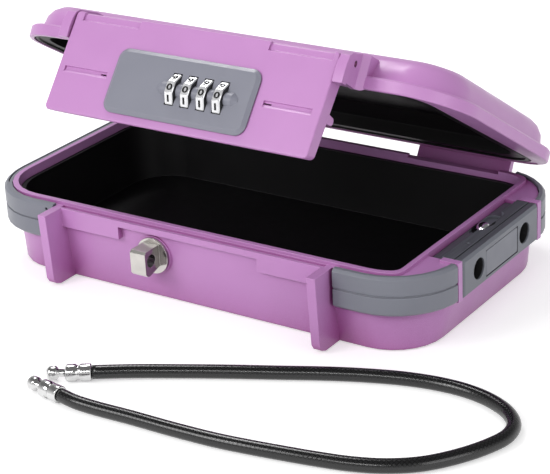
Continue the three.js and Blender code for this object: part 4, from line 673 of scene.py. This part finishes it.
def make_numerals():
    digits = [numeral_mesh(digit) for digit in range(DIAL_FACES)]
    for i in range(4):
        builder = bmesh.new()
        for digit, mesh in enumerate(digits):
            down = 2 * math.pi * digit / DIAL_FACES
            out = Vector((0, -math.cos(down), -math.sin(down)))
            up = Vector((0, -math.sin(down), math.cos(down)))
            place = Matrix((Vector((1, 0, 0)), up, out)).transposed().to_4x4()
            middle = DIAL_AXIS + Vector((DIAL_FIRST_X + i * DIAL_PITCH, 0, 0))
            place.translation = middle + out * DIAL_FLAT
            before = len(builder.verts)
            builder.from_mesh(mesh)
            builder.verts.ensure_lookup_table()
            for vertex in builder.verts[before:]:
                vertex.co = FLAP_TO_REST @ (place @ vertex.co)
        bmesh.ops.remove_doubles(builder, verts=builder.verts, dist=0.000001)
        raised = bmesh.ops.extrude_face_region(builder, geom=builder.faces[:])
        axis = FLAP_TO_REST @ DIAL_AXIS
        for vertex in [part for part in raised["geom"] if isinstance(part, bmesh.types.BMVert)]:
            away = Vector((0, vertex.co.y - axis.y, vertex.co.z - axis.z)).normalized()
            vertex.co += away * NUMERAL_PROUD
        bmesh.ops.recalc_face_normals(builder, faces=builder.faces)
        made = bpy.data.meshes.new(f"numerals_{i + 1}")
        builder.to_mesh(made)
        builder.free()
        mesh_object(f"numerals_{i + 1}", made, ink_look, f"dial_{i + 1}")
    for mesh in digits:
        bpy.data.meshes.remove(mesh)


make_numerals()


# Floor, world and lamps

FLOOR_HALF = 6
FLOOR_DROP = 0.2 * MM
FLOOR_WHITE = 0.8
FLOOR_GLOW = 0.46


def make_floor():
    """A floor that takes shadows and is near white for the camera and in reflections."""
    mesh = bpy.data.meshes.new("floor")
    builder = bmesh.new()
    bmesh.ops.create_grid(builder, x_segments=1, y_segments=1, size=FLOOR_HALF)
    builder.to_mesh(mesh)
    builder.free()
    floor = bpy.data.objects.new("floor", mesh)
    floor.location = (0, 0, -FLOOR_DROP)
    scene.collection.objects.link(floor)
    material = bpy.data.materials.new("floor")
    material.use_nodes = True
    tree = material.node_tree
    tree.nodes.clear()
    out = tree.nodes.new("ShaderNodeOutputMaterial")
    diffuse = tree.nodes.new("ShaderNodeBsdfDiffuse")
    diffuse.inputs["Color"].default_value = (FLOOR_WHITE, FLOOR_WHITE, FLOOR_WHITE, 1)
    glow = tree.nodes.new("ShaderNodeEmission")
    paths = tree.nodes.new("ShaderNodeLightPath")
    seen = tree.nodes.new("ShaderNodeMath")
    seen.operation = "MAXIMUM"
    tree.links.new(paths.outputs["Is Camera Ray"], seen.inputs[0])
    both = tree.nodes.new("ShaderNodeMath")
    both.operation = "MAXIMUM"
    tree.links.new(paths.outputs["Is Glossy Ray"], both.inputs[0])
    tree.links.new(paths.outputs["Is Transmission Ray"], both.inputs[1])
    tree.links.new(both.outputs[0], seen.inputs[1])
    strength = tree.nodes.new("ShaderNodeMath")
    strength.operation = "MULTIPLY"
    strength.inputs[1].default_value = FLOOR_GLOW
    tree.links.new(seen.outputs[0], strength.inputs[0])
    tree.links.new(strength.outputs[0], glow.inputs["Strength"])
    added = tree.nodes.new("ShaderNodeAddShader")
    tree.links.new(diffuse.outputs[0], added.inputs[0])
    tree.links.new(glow.outputs[0], added.inputs[1])
    tree.links.new(added.outputs[0], out.inputs["Surface"])
    mesh.materials.append(material)


AMBIENT = 0.5
OVERHEAD = 0.2
HORIZON = 0.06
ZENITH = 0.6


def make_world():
    """White for the camera, dimmer overhead in reflections, and even for all the rest."""
    world = bpy.data.worlds.new("studio")
    scene.world = world
    world.use_nodes = True
    tree = world.node_tree
    background = tree.nodes["Background"]
    background.inputs["Color"].default_value = (1, 1, 1, 1)
    paths = tree.nodes.new("ShaderNodeLightPath")
    direction = tree.nodes.new("ShaderNodeSeparateXYZ")
    tree.links.new(tree.nodes.new("ShaderNodeTexCoord").outputs["Generated"], direction.inputs[0])
    sky = tree.nodes.new("ShaderNodeMapRange")
    for socket, value in (("From Min", HORIZON), ("From Max", ZENITH),
                          ("To Min", 1.0), ("To Max", OVERHEAD)):
        sky.inputs[socket].default_value = value
    tree.links.new(direction.outputs["Z"], sky.inputs["Value"])
    mirrored = tree.nodes.new("ShaderNodeMath")
    mirrored.operation = "MAXIMUM"
    tree.links.new(paths.outputs["Is Glossy Ray"], mirrored.inputs[0])
    tree.links.new(paths.outputs["Is Transmission Ray"], mirrored.inputs[1])
    level = None
    for share, value in ((mirrored.outputs[0], sky.outputs["Result"]),
                         (paths.outputs["Is Camera Ray"], 1.0)):
        mix = tree.nodes.new("ShaderNodeMix")
        tree.links.new(share, mix.inputs["Factor"])
        first, second = [socket for socket in mix.inputs
                         if socket.type == "VALUE" and socket.name in "AB"]
        if level is None:
            first.default_value = AMBIENT
        else:
            tree.links.new(level, first)
        if isinstance(value, float):
            second.default_value = value
        else:
            tree.links.new(value, second)
        level = mix.outputs["Result"]
    tree.links.new(level, background.inputs["Strength"])


def make_lamp(name, place, aim, size, power):
    lamp = bpy.data.objects.new(name, bpy.data.lights.new(name, "AREA"))
    lamp.data.shape = "RECTANGLE"
    lamp.data.size, lamp.data.size_y = size
    lamp.data.energy = power
    lamp.location = place
    lamp.rotation_mode = "QUATERNION"
    lamp.rotation_quaternion = (Vector(aim) - Vector(place)).to_track_quat("-Z", "Y")
    scene.collection.objects.link(lamp)


LAMPS = [  # name, place, aim, size in metres and power in watts
    ("key", (-0.42, -1.0, 0.66), (0, -0.03, 0.05), (0.55, 0.4), 4.6),
    ("strip", (0.25, -1.05, 0.72), (0.08, -0.1, 0.03), (0.55, 0.1), 2.2),
    ("spark", (-0.3, -0.8, 0.8), (0, -0.05, 0.04), (0.09, 0.09), 0.6),
    ("back", (-0.47, 0.307, 0.9), (0.03, -0.03, 0.1), (0.3, 0.38), 3.5),
    ("fill", (0.9, -0.35, 0.4), (0, 0, 0.02), (0.5, 0.5), 1.7),
]

make_floor()
make_world()
for lamp in LAMPS:
    make_lamp(*lamp)
scene.view_settings.view_transform = "Standard"
